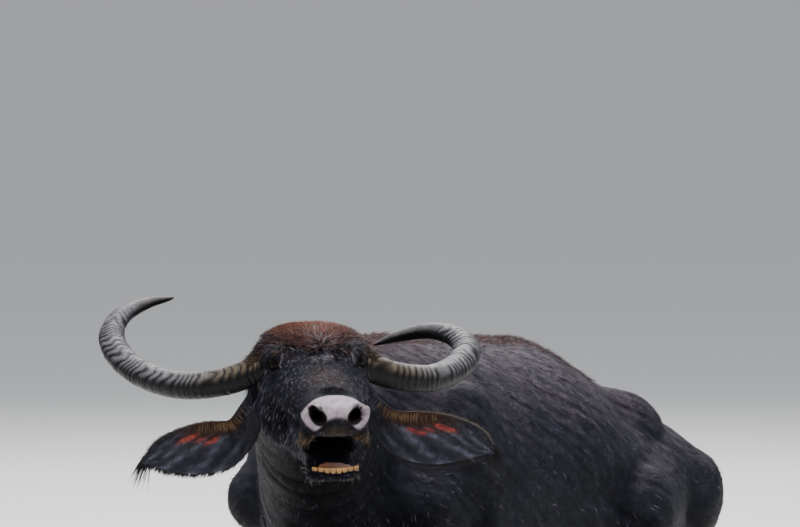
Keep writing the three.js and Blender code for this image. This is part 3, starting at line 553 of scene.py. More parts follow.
def net(field, low, high, cell, halvings):
    """A closed surface round a field: cells are halved near it, and only there."""
    low = np.asarray(low, float)
    count = np.ceil((np.asarray(high, float) - low) / cell).astype(int)
    cells = np.argwhere(np.ones(count, bool))
    for level in range(halvings + 1):
        corners = (cells[:, None, :] + CORNERS).reshape(-1, 3)
        sizes = (count + 1) * 2 ** level + 1
        keys = (corners[:, 0] * sizes[1] + corners[:, 1]) * sizes[2] + corners[:, 2]
        _, first, back = np.unique(keys, return_index=True, return_inverse=True)
        values = field(low + corners[first] * cell)[back.ravel()].reshape(-1, 8)
        if level < halvings:
            close = np.abs(values).min(1) < NET_MARGIN * cell
            cells = (cells[close][:, None, :] * 2 + CORNERS).reshape(-1, 3)
            cell = cell / 2
    inside = values < 0
    mixed = inside.any(1) & ~inside.all(1)
    cells, values, inside = cells[mixed], values[mixed], inside[mixed]
    total = np.zeros((len(cells), 3))
    crossings = np.zeros(len(cells))
    for a, b in CELL_EDGES:
        crosses = inside[:, a] != inside[:, b]
        gap = np.where(crosses, values[:, a] - values[:, b], 1)
        t = np.where(crosses, values[:, a] / gap, 0)
        total += np.where(crosses[:, None], CORNERS[a] + t[:, None] * (CORNERS[b] - CORNERS[a]), 0)
        crossings += crosses
    points = low + cell * (cells + total / crossings[:, None])
    sizes = cells.max(0) + 3

    def key(c):
        return ((c[:, 0] + 1) * sizes[1] + c[:, 1] + 1) * sizes[2] + c[:, 2] + 1
    keys = key(cells)
    order = np.argsort(keys)
    quads = []
    for axis in range(3):
        far_corner = 4 >> axis
        crosses = inside[:, 0] != inside[:, far_corner]
        at = cells[crosses]
        a, b = [x for x in range(3) if x != axis]
        ring = []
        for da, db in ((0, 0), (1, 0), (1, 1), (0, 1)):
            c = at.copy()
            c[:, a] -= da
            c[:, b] -= db
            found = np.searchsorted(keys[order], key(c))
            ring.append(order[np.minimum(found, len(order) - 1)])
            missing = keys[ring[-1]] != key(c)
            ring[-1] = np.where(missing, -1, ring[-1])
        quad = np.stack(ring, 1)
        flip = inside[crosses, 0] if axis != 1 else ~inside[crosses, 0]
        quad = np.where(flip[:, None], quad, quad[:, ::-1])
        quads.append(quad[(quad >= 0).all(1)])
    quads = np.concatenate(quads)
    p, q, r, s = (points[quads[:, k]] for k in range(4))
    short = np.linalg.norm(p - r, axis=1) < np.linalg.norm(q - s, axis=1)
    halves = [np.where(short[:, None], quads[:, [0, 1, 2]], quads[:, [0, 1, 3]]),
              np.where(short[:, None], quads[:, [0, 2, 3]], quads[:, [1, 2, 3]])]
    return points, np.concatenate(halves)


CHUNK = 5000
MOST_SPLITS = 5
FEW_EDGES = 50
LEAST_SLOPE = 0.15
AROUND = np.array([(1, 1, 1), (1, -1, -1), (-1, 1, -1), (-1, -1, 1)], float)


def in_chunks(work, p):
    """The work done on one chunk of the points after another."""
    return np.concatenate([work(c) for c in np.array_split(p, max(1, len(p) // CHUNK))])


def drawn(field, p, rounds=1, reach=4.0, h=0.5):
    """The points moved onto the field's surface, by reach at most in each round."""
    def work(p):
        for _ in range(rounds):
            values = np.stack([field(p + d * h) for d in AROUND], 1)
            g = values @ AROUND / (4 * h)
            square = np.maximum((g ** 2).sum(1), LEAST_SLOPE)
            p = p - g * np.clip(values.mean(1) / square, -reach, reach)[:, None]
        return p
    return in_chunks(work, p)


def edges_of(faces):
    """Each edge once, and which of them each face's three sides are."""
    pairs = np.concatenate([faces[:, [0, 1]], faces[:, [1, 2]], faces[:, [2, 0]]])
    low, high = pairs.min(1), pairs.max(1)
    many = int(faces.max()) + 1
    keys, back = np.unique(low * many + high, return_inverse=True)
    return np.stack([keys // many, keys % many], 1), back.ravel()


def split_long(points, faces, size_at):
    """Every edge longer than its place allows is halved, and its faces are split to match."""
    pairs, back = edges_of(faces)
    middle = points[pairs].mean(1)
    long = np.linalg.norm(points[pairs[:, 0]] - points[pairs[:, 1]], axis=1) > size_at(middle)
    number = np.full(len(pairs), -1)
    number[long] = len(points) + np.arange(long.sum())
    points = np.concatenate([points, middle[long]])
    on_edge = number[back].reshape(3, -1).T
    count = (on_edge >= 0).sum(1)
    out = [faces[count == 0]]
    for split in (1, 2, 3):
        rows = np.nonzero(count == split)[0]
        if split == 3:
            turn = np.zeros(len(rows), int)
        elif split == 1:
            turn = np.argmax(on_edge[rows] >= 0, 1)
        else:
            turn = (np.argmin(on_edge[rows] >= 0, 1) + 1) % 3
        order = (turn[:, None] + np.arange(3)) % 3
        a, b, c = np.take_along_axis(faces[rows], order, 1).T
        ab, bc, ca = np.take_along_axis(on_edge[rows], order, 1).T
        if split == 1:
            made = [(a, ab, c), (ab, b, c)]
        elif split == 2:
            made = [(ab, b, bc), (a, ab, bc), (a, bc, c)]
        else:
            made = [(a, ab, ca), (ab, b, bc), (ca, bc, c), (ab, bc, ca)]
        out += [np.stack(face, 1) for face in made]
    return points, np.concatenate(out), long.sum()


def relaxed(points, faces, share):
    """Each point moved part of the way to the middle of its neighbours."""
    pairs, _ = edges_of(faces)
    total = np.zeros_like(points)
    count = np.zeros(len(points))
    for a, b in (pairs.T, pairs.T[::-1]):
        for axis in range(3):
            total[:, axis] += np.bincount(a, points[b, axis], len(points))
        count += np.bincount(a, minlength=len(points))
    return points + (total / np.maximum(count, 1)[:, None] - points) * share


def vertex_normals(points, faces):
    a, b, c = (points[faces[:, k]] for k in range(3))
    n = np.cross(b - a, c - a)
    out = np.zeros_like(points)
    for k in range(3):
        for axis in range(3):
            out[:, axis] += np.bincount(faces[:, k], n[:, axis], len(points))
    return unit(out)


# Blender pieces
def rigid(points, at, axes):
    """Points in a frame of its own axes, as rows, put in the model's frame."""
    return np.asarray(points, float) @ np.asarray(axes, float) + np.asarray(at, float)


def outward(points, faces):
    """The faces of a closed surface, all turned to face out."""
    a, b, c = (points[faces[:, k]] for k in range(3))
    return faces if np.einsum("ij,ij->", a, np.cross(b, c)) > 0 else faces[:, ::-1]


def ringed(rings):
    """A closed tube through rings of points, with a point in the middle of each end."""
    rings = np.asarray(rings, float)
    count, sides, _ = rings.shape
    points = np.concatenate([rings.reshape(-1, 3), rings[[0, -1]].mean(1)])
    i = np.arange(count - 1)[:, None] * sides
    k = np.arange(sides)[None, :]
    a, b = (i + k).ravel(), (i + (k + 1) % sides).ravel()
    k = k.ravel()
    n, last = (k + 1) % sides, (count - 1) * sides
    faces = np.concatenate([
        np.stack([a, b, b + sides], 1),
        np.stack([a, b + sides, a + sides], 1),
        np.stack([np.full(sides, count * sides), n, k], 1),
        np.stack([np.full(sides, count * sides + 1), last + k, last + n], 1),
    ])
    return points, outward(points, faces)


class Curve:
    """A centripetal Catmull-Rom curve through points, as the solids' paths are."""

    def __init__(self, points, samples=1200):
        p = np.asarray(points, float)
        p = np.concatenate([[2 * p[0] - p[1]], p, [2 * p[-1] - p[-2]]])
        gaps = np.maximum(np.linalg.norm(np.diff(p, axis=0), axis=1) ** 0.5, 1e-4)
        self.points, self.gaps = p, gaps
        u = np.linspace(0, 1, samples)
        at = self.at(u)
        run = np.concatenate([[0], np.cumsum(np.linalg.norm(np.diff(at, axis=0), axis=1))])
        self.u, self.run = u, run
        self.length = run[-1]

    def at(self, u):
        u = np.atleast_1d(np.asarray(u, float))
        count = len(self.points) - 3
        s = np.clip(np.floor(u * count).astype(int), 0, count - 1)
        t = (u * count - s)[:, None]
        a, b, c, d = (self.points[s + k] for k in range(4))
        ga, gb, gc = (self.gaps[s + k][:, None] for k in range(3))
        m1 = ((b - a) / ga - (c - a) / (ga + gb) + (c - b) / gb) * gb
        m2 = ((c - b) / gb - (d - b) / (gb + gc) + (d - c) / gc) * gb
        two, three = -3 * b + 3 * c - 2 * m1 - m2, 2 * b - 2 * c + m1 + m2
        return b + m1 * t + two * t ** 2 + three * t ** 3

    def evenly(self, share):
        """The curve's own parameter at a share of its length."""
        return np.interp(np.asarray(share, float) * self.length, self.run, self.u)

    def heading(self, u, h=1e-4):
        u = np.atleast_1d(np.asarray(u, float))
        return unit(self.at(np.minimum(u + h, 1)) - self.at(np.maximum(u - h, 0)))


BOX_MARGIN = 0.6
BOX_LOW = np.array(cad_box[0]) / MM + (BOX_MARGIN, BOX_MARGIN, 0)
BOX_HIGH = np.array(cad_box[1]) / MM - BOX_MARGIN


def make_piece(name, points, faces, material, colours, strand=None, uv=None):
    """A smooth mesh object from points in millimetres, kept inside the box of the solids.
    colours is the tone at each point, and strand the place that streaks are drawn from."""
    points = np.clip(points, BOX_LOW, BOX_HIGH)
    mesh = bpy.data.meshes.new(name)
    mesh.vertices.add(len(points))
    mesh.vertices.foreach_set("co", (points * MM).astype(np.float32).ravel())
    mesh.loops.add(faces.size)
    mesh.loops.foreach_set("vertex_index", faces.astype(np.int32).ravel())
    mesh.polygons.add(len(faces))
    mesh.polygons.foreach_set("loop_start", np.arange(0, faces.size, 3, dtype=np.int32))
    mesh.update(calc_edges=True)
    mesh.polygons.foreach_set("use_smooth", np.ones(len(faces), bool))
    tone = mesh.attributes.new("tone", "FLOAT_COLOR", "POINT")
    rgba = np.concatenate([colours, np.ones((len(points), 1))], 1)
    tone.data.foreach_set("color", rgba.astype(np.float32).ravel())
    if strand is not None:
        layer = mesh.attributes.new("strand", "FLOAT_VECTOR", "POINT")
        layer.data.foreach_set("vector", strand.astype(np.float32).ravel())
    if uv is not None:
        layer = mesh.uv_layers.new(name="OFBake")
        layer.data.foreach_set("uv", uv[faces.ravel()].astype(np.float32).ravel())
    mesh.materials.append(material)
    obj = bpy.data.objects.new(name, mesh)
    bpy.context.scene.collection.objects.link(obj)
    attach(obj, "root")
    return obj


def refined(points, faces, field, size_at):
    """The net evened out, split until its edges are short enough, and drawn onto the field."""
    points = drawn(field, relaxed(points, faces, 0.5), rounds=2, reach=8)
    for _ in range(MOST_SPLITS):
        old = len(points)
        points, faces, made = split_long(points, faces, size_at)
        if made < FEW_EDGES:
            break
        points[old:] = drawn(field, points[old:])
    for _ in range(2):
        points = drawn(field, relaxed(points, faces, 0.45))
    return points, faces


# Places on the head, for meshing and for marks
DETAIL = (1.0)
FINE_SPOTS = (
    ((0, -60, -60), 330, 4.6),
    ((0, -300, -60), 90, 3.2),
    ((0, -290, -190), 70, 3.4),
    ((0, -270, -140), 100, 3.6),
    ((EYE_AT[0] + 16, EYE_AT[1] - 14, EYE_AT[2]), 32, 1.7),
    ((48, -326, -32), 40, 2.0),
    ((0, -238, 0), 50, 2.6),
    ((8, -20, 30), 44, 3.2),
)
SIZE_GROWTH = 0.11


def skin_size(p):
    """The longest edge that the skin's mesh may have at a place."""
    out = np.full(len(p), 13.0)
    throat = np.linalg.norm((p - (160, -1000, 520)) / (1.0, 1.4, 1.0), axis=1)
    out = np.minimum(out, 7 + SIZE_GROWTH * np.maximum(throat - 260, 0))
    out = np.minimum(out, 9 + 0.04 * np.maximum(p[:, 2] - 200, 0))
    q = folded(to_head(p))
    for at, radius, size in FINE_SPOTS:
        away = np.linalg.norm(q - at, axis=1) - radius
        out = np.minimum(out, size + SIZE_GROWTH * np.maximum(away, 0))
    return out * DETAIL


# Marks and relief
WHORL = (20, 30, 34)
DENT_PATH = [(-28, -34), (-10, 4), (14, 18), (34, 2), (42, -30)]
WRINKLE_STEP = 10.5


def ripple(p, size, seed, waves=5):
    """A smooth noise between about -1 and 1, made of a few waves."""
    rng = np.random.default_rng(seed)
    heading = unit(rng.normal(size=(waves, 3))) * (TAU / size)
    heading *= rng.uniform(0.6, 1.7, (waves, 1))
    return np.sin(p @ heading.T + rng.uniform(0, TAU, waves)).sum(1) / waves ** 0.5 * 0.8


def path_distance(xy, path):
    """How far points in a plane are from a line of straight parts."""
    best = np.full(len(xy), np.inf)
    for a, b in zip(path, path[1:]):
        a, b = np.array(a, float), np.array(b, float)
        t = np.clip((xy - a) @ (b - a) / ((b - a) @ (b - a)), 0, 1)
        best = np.minimum(best, np.linalg.norm(xy - a - t[:, None] * (b - a), axis=1))
    return best


def nose_pad(q):
    """1 on the bare nose pad, 0 on the hair round it. q is in the head's frame."""
    x = np.abs(q[:, 0])
    top = -264 - 34 * (x / 80) ** 2
    low = -37 - 31 * np.exp(-((x - 54) / 24) ** 2)
    on = step_between(0, 6, top - q[:, 1]) * step_between(-5, 7, q[:, 2] - low)
    return on * (1 - step_between(80, 92, x))


def upper_lip(q):
    """1 on the golden hair at the sides of the upper lip."""
    return near_point(folded(q), (64, -292, -104), (40, 56, 34))


def in_head(q):
    """1 on the head, falling to 0 on the neck behind it."""
    return 1 - step_between(150, 230, q[:, 1] * 0.94 - (q[:, 2] + 60) * 0.2)


def crown(q):
    """1 on the hairy crown between the horns."""
    reach = np.linalg.norm((q - (4, 118, 44)) / (130, 118, 104), axis=1)
    return 1 - step_between(0.3, 1.1, reach + 0.12 * ripple(q, 34, 5))


def mouth_lining(q):
    """1 inside the open mouth."""
    return 1 - step_between(-2, 9, mouth_space(q))


def nose_wrinkles(q):
    """Where the nose is wrinkled above its pad, and the wave of the wrinkles."""
    arc = np.linalg.norm(q - (8, -292, -30), axis=1)
    return near_point(q, (6, -236, 0), (56, 38, 36)), np.sin(TAU * arc / WRINKLE_STEP)


def skin_relief(p):
    """How far the skin stands out, in millimetres, from its smooth form."""
    q = to_head(p)
    r = folded(q)
    out = 1.6 * nose_pad(q)
    wrinkled, wave = nose_wrinkles(q)
    out += 3.0 * wrinkled * wave
    dent = path_distance(q[:, :2], DENT_PATH)
    out -= 9.5 * np.exp(-(dent / 9) ** 2) * (q[:, 2] > -20) * (np.abs(q[:, 1]) < 90)
    away = np.linalg.norm(r - EYE_AT, axis=1)
    ring = step_between(29, 36, away) * (1 - step_between(48, 74, away))
    above = 0.45 + 0.55 * step_between(-18, 16, r[:, 2])
    broken = 0.5 + 0.5 * ripple(q, 26, 12)
    out += 1.2 * ring * above * broken * np.sin(TAU * (away + 6 * ripple(q, 44, 11)) / WRINKLE_STEP)
    cheek = near_point(r, (82, -40, -120), (60, 150, 100)) * (away > 60)
    out += 2.0 * cheek * ripple(q * (1, 1, 0.3), 46, 7)
    muzzle = near_point(r, (40, -300, -90), (70, 60, 60)) * (1 - nose_pad(q))
    out += 0.9 * muzzle * ripple(q, 13, 8)
    chin = near_point(r, (0, -262, -205), (90, 70, 44))
    out += 1.1 * chin * ripple(q, 15, 9)
    body = 1 - in_head(q)
    throat = near_point(p, (150, -980, 480), (260, 330, 300)) * body
    fold = p @ unit([0.45, -0.86, 0.35]) + 26 * ripple(p, 260, 3)
    lower = 1 - step_between(-60, 90, p[:, 2] - 560 - (p[:, 1] + 900) * -0.32)
    out += throat * (0.3 + 0.7 * lower) * 7.5 * (np.abs(np.sin(np.pi * fold / 74)) ** 0.6 - 0.6)
    rib = near_point(p * (0, 1, 1), (0, 40, 420), (1, 380, 260))
    slant = p[:, 1] + 0.32 * p[:, 2]
    out += 3.2 * rib * np.sin(TAU * slant / 92) * step_between(150, 300, np.abs(p[:, 0]))
    hollow = near_point(folded(p), (245, 395, 500), (150, 125, 120))
    out -= 15 * hollow
    blade = near_point(folded(p), (300, -330, 470), (150, 60, 230))
    out -= 8 * blade
    out += body * 2.2 * ripple(p, 210, 21) + body * 1.0 * ripple(p, 70, 22)
    return out


# Colours of the hide, as linear red, green and blue; some are painted sheen and painted shade
SLATE = np.array([0.0115, 0.0120, 0.0185])
BACK_SHEEN = np.array([0.028, 0.0215, 0.030])
BELLY_SHADE = np.array([0.014, 0.013, 0.015])
REDDISH = np.array([0.082, 0.034, 0.026])
CROWN_RED = np.array([0.120, 0.036, 0.017])
NOSE_PINK = np.array([0.520, 0.435, 0.485])
GOLDEN = np.array([0.120, 0.072, 0.034])
PHILTRUM = np.array([0.075, 0.054, 0.044])
LINING_SHADE = np.array([0.020, 0.013, 0.013])
INNER_LIP = np.array([0.300, 0.190, 0.170])
LID_EDGE = np.array([0.12, 0.105, 0.11])


def toward(colour, other, share):
    """The colour moved toward another by a share."""
    return colour + (other - colour) * np.clip(share, 0, 1)[:, None]


def hide_colour(p, n):
    """The colour of the hide at a place, with painted sheen on parts facing up and painted shade
    below, in the throat, the creases, round the eyes and in the nostrils and mouth. Skin and coat
    both take it from here.
    """
    q = to_head(p)
    r = folded(q)
    out = np.repeat(SLATE[None], len(p), 0)
    head = in_head(q)
    across_lie = np.stack([np.abs(p[:, 0]) * 0.4, p @ (0, 0.54, 0.84), p @ (0, 0.12, -0.08)], 1)
    streak = ripple(across_lie, 30, 42) + 0.6 * ripple(across_lie, 13, 43)
    # Painted sheen: body hide facing up is lighter and lilac-grey, for the sky's reflection on the
    # wet hair.
    up = step_between(0.3, 0.95, n[:, 2] + 0.12 * ripple(p, 130, 31) + 0.14 * streak)
    out = toward(out, BACK_SHEEN, up * (1 - head) * step_between(230, 420, p[:, 2]))
    out = out * (1 + 0.3 * (1 - head) * streak)[:, None]
    # Painted shade: the hide gets darker towards the floor, low on the belly and legs.
    out = toward(out, BELLY_SHADE, (1 - step_between(90, 240, p[:, 2])) * 0.8)
    spine = np.exp(-(p[:, 0] / 74) ** 2) * step_between(500, 600, p[:, 2])
    spine *= step_between(-1150, -560, p[:, 1]) * (1 - head)
    out = toward(out, REDDISH, spine * (0.42 + 0.34 * ripple(p, 60, 33)))
    # Painted shade under the head: the throat and the neck below the jaw are darkened.
    throat = near_point(p, (150, -1040, 420), (320, 330, 280)) * (1 - head)
    out = out * (1 - 0.6 * throat)[:, None]
    out = toward(out, CROWN_RED, crown(q) * (0.75 + 0.35 * ripple(q, 22, 35)))
    # Painted shade in the dent across the forehead: the hide along its groove is darkened.
    out = toward(out, SLATE * 0.4, np.exp(-(path_distance(q[:, :2], DENT_PATH) / 10) ** 2)
                 * (q[:, 2] > -20) * head)
    tint = near_point(q, (2, -150, 4), (74, 120, 60))
    out = toward(out, REDDISH * 0.5, tint * (0.5 + 0.4 * ripple(q, 24, 36)))
    wrinkled, wave = nose_wrinkles(q)
    # Painted shade in the wrinkles above the nose pad: each trough is darkened.
    out = out * (1 - 0.7 * wrinkled * (0.5 - 0.5 * wave))[:, None]
    brow = near_point(r, (74, -10, 34), (42, 50, 26))
    pad = nose_pad(q)
    mottle = 0.92 + 0.10 * ripple(q, 16, 39) + 0.07 * ripple(q, 6, 45)
    under_pad = near_point(r, (0, -342, -52), (34, 26, 25)) * pad
    lining = mouth_lining(q)
    lip = near_point(r, (0, -268, -186), (66, 30, 16))
    rim = np.linalg.norm(r - EYE_AT, axis=1)
    lid_edge = np.exp(-((rim - 31.5) / 1.3) ** 2) * step_between(2, 14, r[:, 2])
    for colour, share in (
        (REDDISH * 0.7, brow * 0.4 * (0.6 + 0.5 * ripple(q, 18, 37))),
        (PHILTRUM, near_point(q, (0, -334, -78), (60, 44, 40)) * 0.9),
        (GOLDEN, upper_lip(q) * (0.45 + 0.35 * ripple(q, 10, 38))),
        (GOLDEN * 0.5, near_point(r, (34, -262, -216), (50, 40, 26)) * 0.5),
        (NOSE_PINK * mottle[:, None], pad),
        (PHILTRUM * 0.7, under_pad * 1.5 * (0.9 + 0.2 * ripple(q, 8, 44))),
        # Painted shade: the insides of the nostrils and of the mouth take a near-black lining
        # colour.
        (LINING_SHADE * 0.5, 1 - step_between(4.5, 8, nostril(r))),
        (LINING_SHADE, lining * head),
        (INNER_LIP, lip * lining * 0.55),
        # Painted shade round the eye opening, where the lids fold in.
        (SLATE * 0.6, (1 - step_between(27, 34, rim)) * 0.8),
        (LID_EDGE, lid_edge * 0.7),
    ):
        out = toward(out, colour, share)
    # Painted shade: hide facing down is darker, except on the nose pad and inside the mouth.
    underside_shade = 0.35 + 0.65 * step_between(-0.6, 0.4, n[:, 2])
    underside_shade = underside_shade + (1 - underside_shade) * np.clip(pad + lining * head, 0, 1)
    return np.clip(out * (underside_shade * (1 + 0.14 * ripple(p, 34, 41)))[:, None], 0.002, 1)


def lie_of_hair(p, n):
    """The way the hair lies at a place: a unit vector along the skin."""
    q = to_head(p)
    head = in_head(q)
    side = np.sign(p[:, :1])
    back = np.concatenate([0.25 * side, np.full((len(p), 1), 0.78), np.full((len(p), 1), -0.5)], 1)
    neck = unit([-0.36, 0.78, -0.52])
    on_neck = 1 - step_between(-760, -560, p[:, 1])
    body = back + (neck - back) * on_neck[:, None]
    crown_way = unit(q - WHORL)
    on_side = step_between(70, 105, np.abs(q[:, 0]))
    face_way = np.stack([q[:, 0] * 0.004, np.full(len(q), -1.0), np.zeros(len(q))], 1)
    cheek_way = np.stack([np.zeros(len(q)), np.full(len(q), 0.38), np.full(len(q), -1.0)], 1)
    cheeks = np.clip(on_side + (1 - step_between(-100, -40, q[:, 2])), 0, 1)[:, None]
    face = face_way + (cheek_way - face_way) * cheeks
    is_crown = step_between(-20, 50, q[:, 1] - 0.2 * np.abs(q[:, 0])) * (q[:, 2] > -30)
    face = face + (crown_way - face) * is_crown[:, None]
    world_face = face @ HEAD_AXES
    way = body + (world_face - body) * head[:, None]
    way = way + 0.22 * np.stack([ripple(p, 90, seed) for seed in (51, 52, 53)], 1)
    return along_skin(way, n)


# Materials
def new_material(name, rough, **sockets):
    material = bpy.data.materials.new(name)
    material.use_nodes = True
    tree = material.node_tree
    shader = tree.nodes["Principled BSDF"]
    shader.inputs["Roughness"].default_value = rough
    for key, value in sockets.items():
        shader.inputs[key.replace("_", " ")].default_value = value
    return material, tree, shader


def node(tree, kind, settings=None, **sockets):
    made = tree.nodes.new(kind)
    for key, value in (settings or {}).items():
        setattr(made, key, value)
    for key, value in sockets.items():
        socket = made.inputs[key.replace("_", " ")]
        if isinstance(value, bpy.types.NodeSocket):
            tree.links.new(value, socket)
        else:
            socket.default_value = value
    return made


def attribute(tree, name, output):
    return node(tree, "ShaderNodeAttribute", {"attribute_name": name}).outputs[output]


def noise(tree, place, scale, detail, rough=0.6):
    return node(tree, "ShaderNodeTexNoise", Vector=place, Scale=scale, Detail=detail,
                Roughness=rough).outputs["Fac"]


def stretched(tree, value, middle_gap, low, high):
    """The value, with its middle part stretched to go from low to high."""
    return node(tree, "ShaderNodeMapRange", Value=value, From_Min=0.5 - middle_gap,
                From_Max=0.5 + middle_gap, To_Min=low, To_Max=high).outputs["Result"]


def toned(tree, shader, scale, low, high, streaks=None):
    """Base colour from the mesh's tone, made darker and lighter by noise and by streaks."""
    place = node(tree, "ShaderNodeTexCoord").outputs["Object"]
    share = stretched(tree, noise(tree, place, scale, 6.0), 0.2, low, high)
    if streaks is not None:
        streak_scale, darkest, lightest = streaks
        lines = noise(tree, attribute(tree, "strand", "Vector"), streak_scale, 5.0, 0.65)
        both = node(tree, "ShaderNodeMath", {"operation": "MULTIPLY"})
        tree.links.new(share, both.inputs[0])
        tree.links.new(stretched(tree, lines, 0.18, darkest, lightest), both.inputs[1])
        share = both.outputs["Value"]
    shade = node(tree, "ShaderNodeVectorMath", {"operation": "SCALE"}, Scale=share)
    tree.links.new(attribute(tree, "tone", "Color"), shade.inputs[0])
    tree.links.new(shade.outputs["Vector"], shader.inputs["Base Color"])
    return place


def bumped(tree, shader, layers):
    """Bumps one over another: each is (height socket, depth in metres)."""
    last = None
    for height, depth in layers:
        bump = node(tree, "ShaderNodeBump", Height=height, Distance=depth, Strength=1.0)
        if last is not None:
            tree.links.new(last.outputs["Normal"], bump.inputs["Normal"])
        last = bump
    tree.links.new(last.outputs["Normal"], shader.inputs["Normal"])


def hide_material():
    """Hide with short wet hair: streaks along the lie of the hair over a fine grain."""
    material, tree, shader = new_material("hide", 0.5, Specular_IOR_Level=0.06)
    place = toned(tree, shader, 28, 0.75, 1.3, (110.0, 0.35, 1.9))
    strand = attribute(tree, "strand", "Vector")
    clumps = noise(tree, strand, 70.0, 3.0, 0.5)
    hairs = noise(tree, strand, 330.0, 4.0)
    grain = noise(tree, place, 520.0, 4.0)
    bumped(tree, shader, [(clumps, 0.006), (hairs, 0.0028), (grain, 0.0008)])
    return material


def plain_toned(name, rough, scale, low, high, depth, **sockets):
    """A material with the mesh's tone and one grain, depth metres deep."""
    material, tree, shader = new_material(name, rough, **sockets)
    place = toned(tree, shader, scale, low, high)
    bumped(tree, shader, [(noise(tree, place, scale * 5, 5.0), depth)])
    return material


HIDE = hide_material()
COAT_HAIR = plain_toned("coat", 0.45, 90, 0.75, 1.3, 0.0003, Specular_IOR_Level=0.09)
HORN = plain_toned("horn", 0.42, 45, 0.62, 1.4, 0.0014, Specular_IOR_Level=0.15)
EAR = plain_toned("ear", 0.6, 60, 0.6, 1.45, 0.0018, Specular_IOR_Level=0.2)
HOOF = plain_toned("hoof", 0.45, 50, 0.75, 1.25, 0.001)
TONGUE_SKIN = plain_toned("tongue", 0.3, 120, 0.85, 1.15, 0.0012)
ENAMEL = plain_toned("tooth", 0.25, 160, 0.7, 1.15, 0.0005)
EYE = plain_toned("eye", 0.07, 30, 0.9, 1.1, 0.0, Specular_IOR_Level=0.045)
HAIR = plain_toned("hair", 0.5, 80, 0.8, 1.25, 0.0004)


def flat_tone(points, colour):
    return np.repeat(np.array([colour], float), len(points), 0)


def with_ends(colour):
    """The colours of a ring's points, and those of the points in its two ends."""
    return np.concatenate([colour, colour[:1], colour[-1:]])


# The skin
NET_LOW = (-620, -1960, -20)
NET_HIGH = (900, 1180, 1180)
NET_CELL = 64
NET_HALVINGS = 2
STRAND_PULL = 0.9
skin_points, skin_faces = net(skin_field, NET_LOW, NET_HIGH, NET_CELL, NET_HALVINGS)
skin_points, skin_faces = refined(skin_points, skin_faces, skin_field, skin_size)
skin_faces = outward(skin_points, skin_faces)
skin_normals = vertex_normals(skin_points, skin_faces)
skin_points = skin_points + skin_normals * skin_relief(skin_points)[:, None]
skin_points[:, 2] = np.maximum(skin_points[:, 2], FLOOR_GAP)
skin_normals = vertex_normals(skin_points, skin_faces)
skin_lie = lie_of_hair(skin_points, skin_normals)
skin_pull = dots(skin_points, skin_lie) * STRAND_PULL
skin_strand = skin_points - skin_lie * skin_pull[:, None]
skin = make_piece("skin", skin_points, skin_faces, HIDE,
                  hide_colour(skin_points, skin_normals), skin_strand * MM)
LEG_NODES = [
    f"{leg}_{side}_{part}" for side in ("left", "right")
    for leg, parts in (("foreleg", ("forearm", "cannon")), ("hindleg", ("thigh", "shank", "foot")))
    for part in parts
]
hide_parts("torso", "neck", "head", "jaw", "tail", *LEG_NODES)

# Horns: ringed cones swept outward, back and inward, flatter above
HORN_PATH = {
    "left": [(116, 84, -32), (212, 110, -72), (305, 168, -98), (380, 262, -103),
             (424, 372, -96), (420, 478, -92), (370, 572, -100), (290, 628, -130),
             (235, 640, -152)],
    "right": [(116, 84, -32), (206, 108, -70), (298, 155, -92), (375, 243, -94),
              (428, 352, -76), (438, 458, -52), (402, 550, -30), (330, 616, -18),
              (262, 640, -14)],
}
HORN_RIDGE_END = 0.8
HORN_RIDGES = 32
HORN_RINGS = int(420 / DETAIL)
HORN_SIDES = 40
HORN_LIT_SIDE = np.array([0.080, 0.076, 0.086])
HORN_SHADED_SIDE = np.array([0.0035, 0.0034, 0.0038])
HORN_BASE = np.array([0.066, 0.048, 0.027])
HORN_TIP = np.array([0.036, 0.027, 0.026])


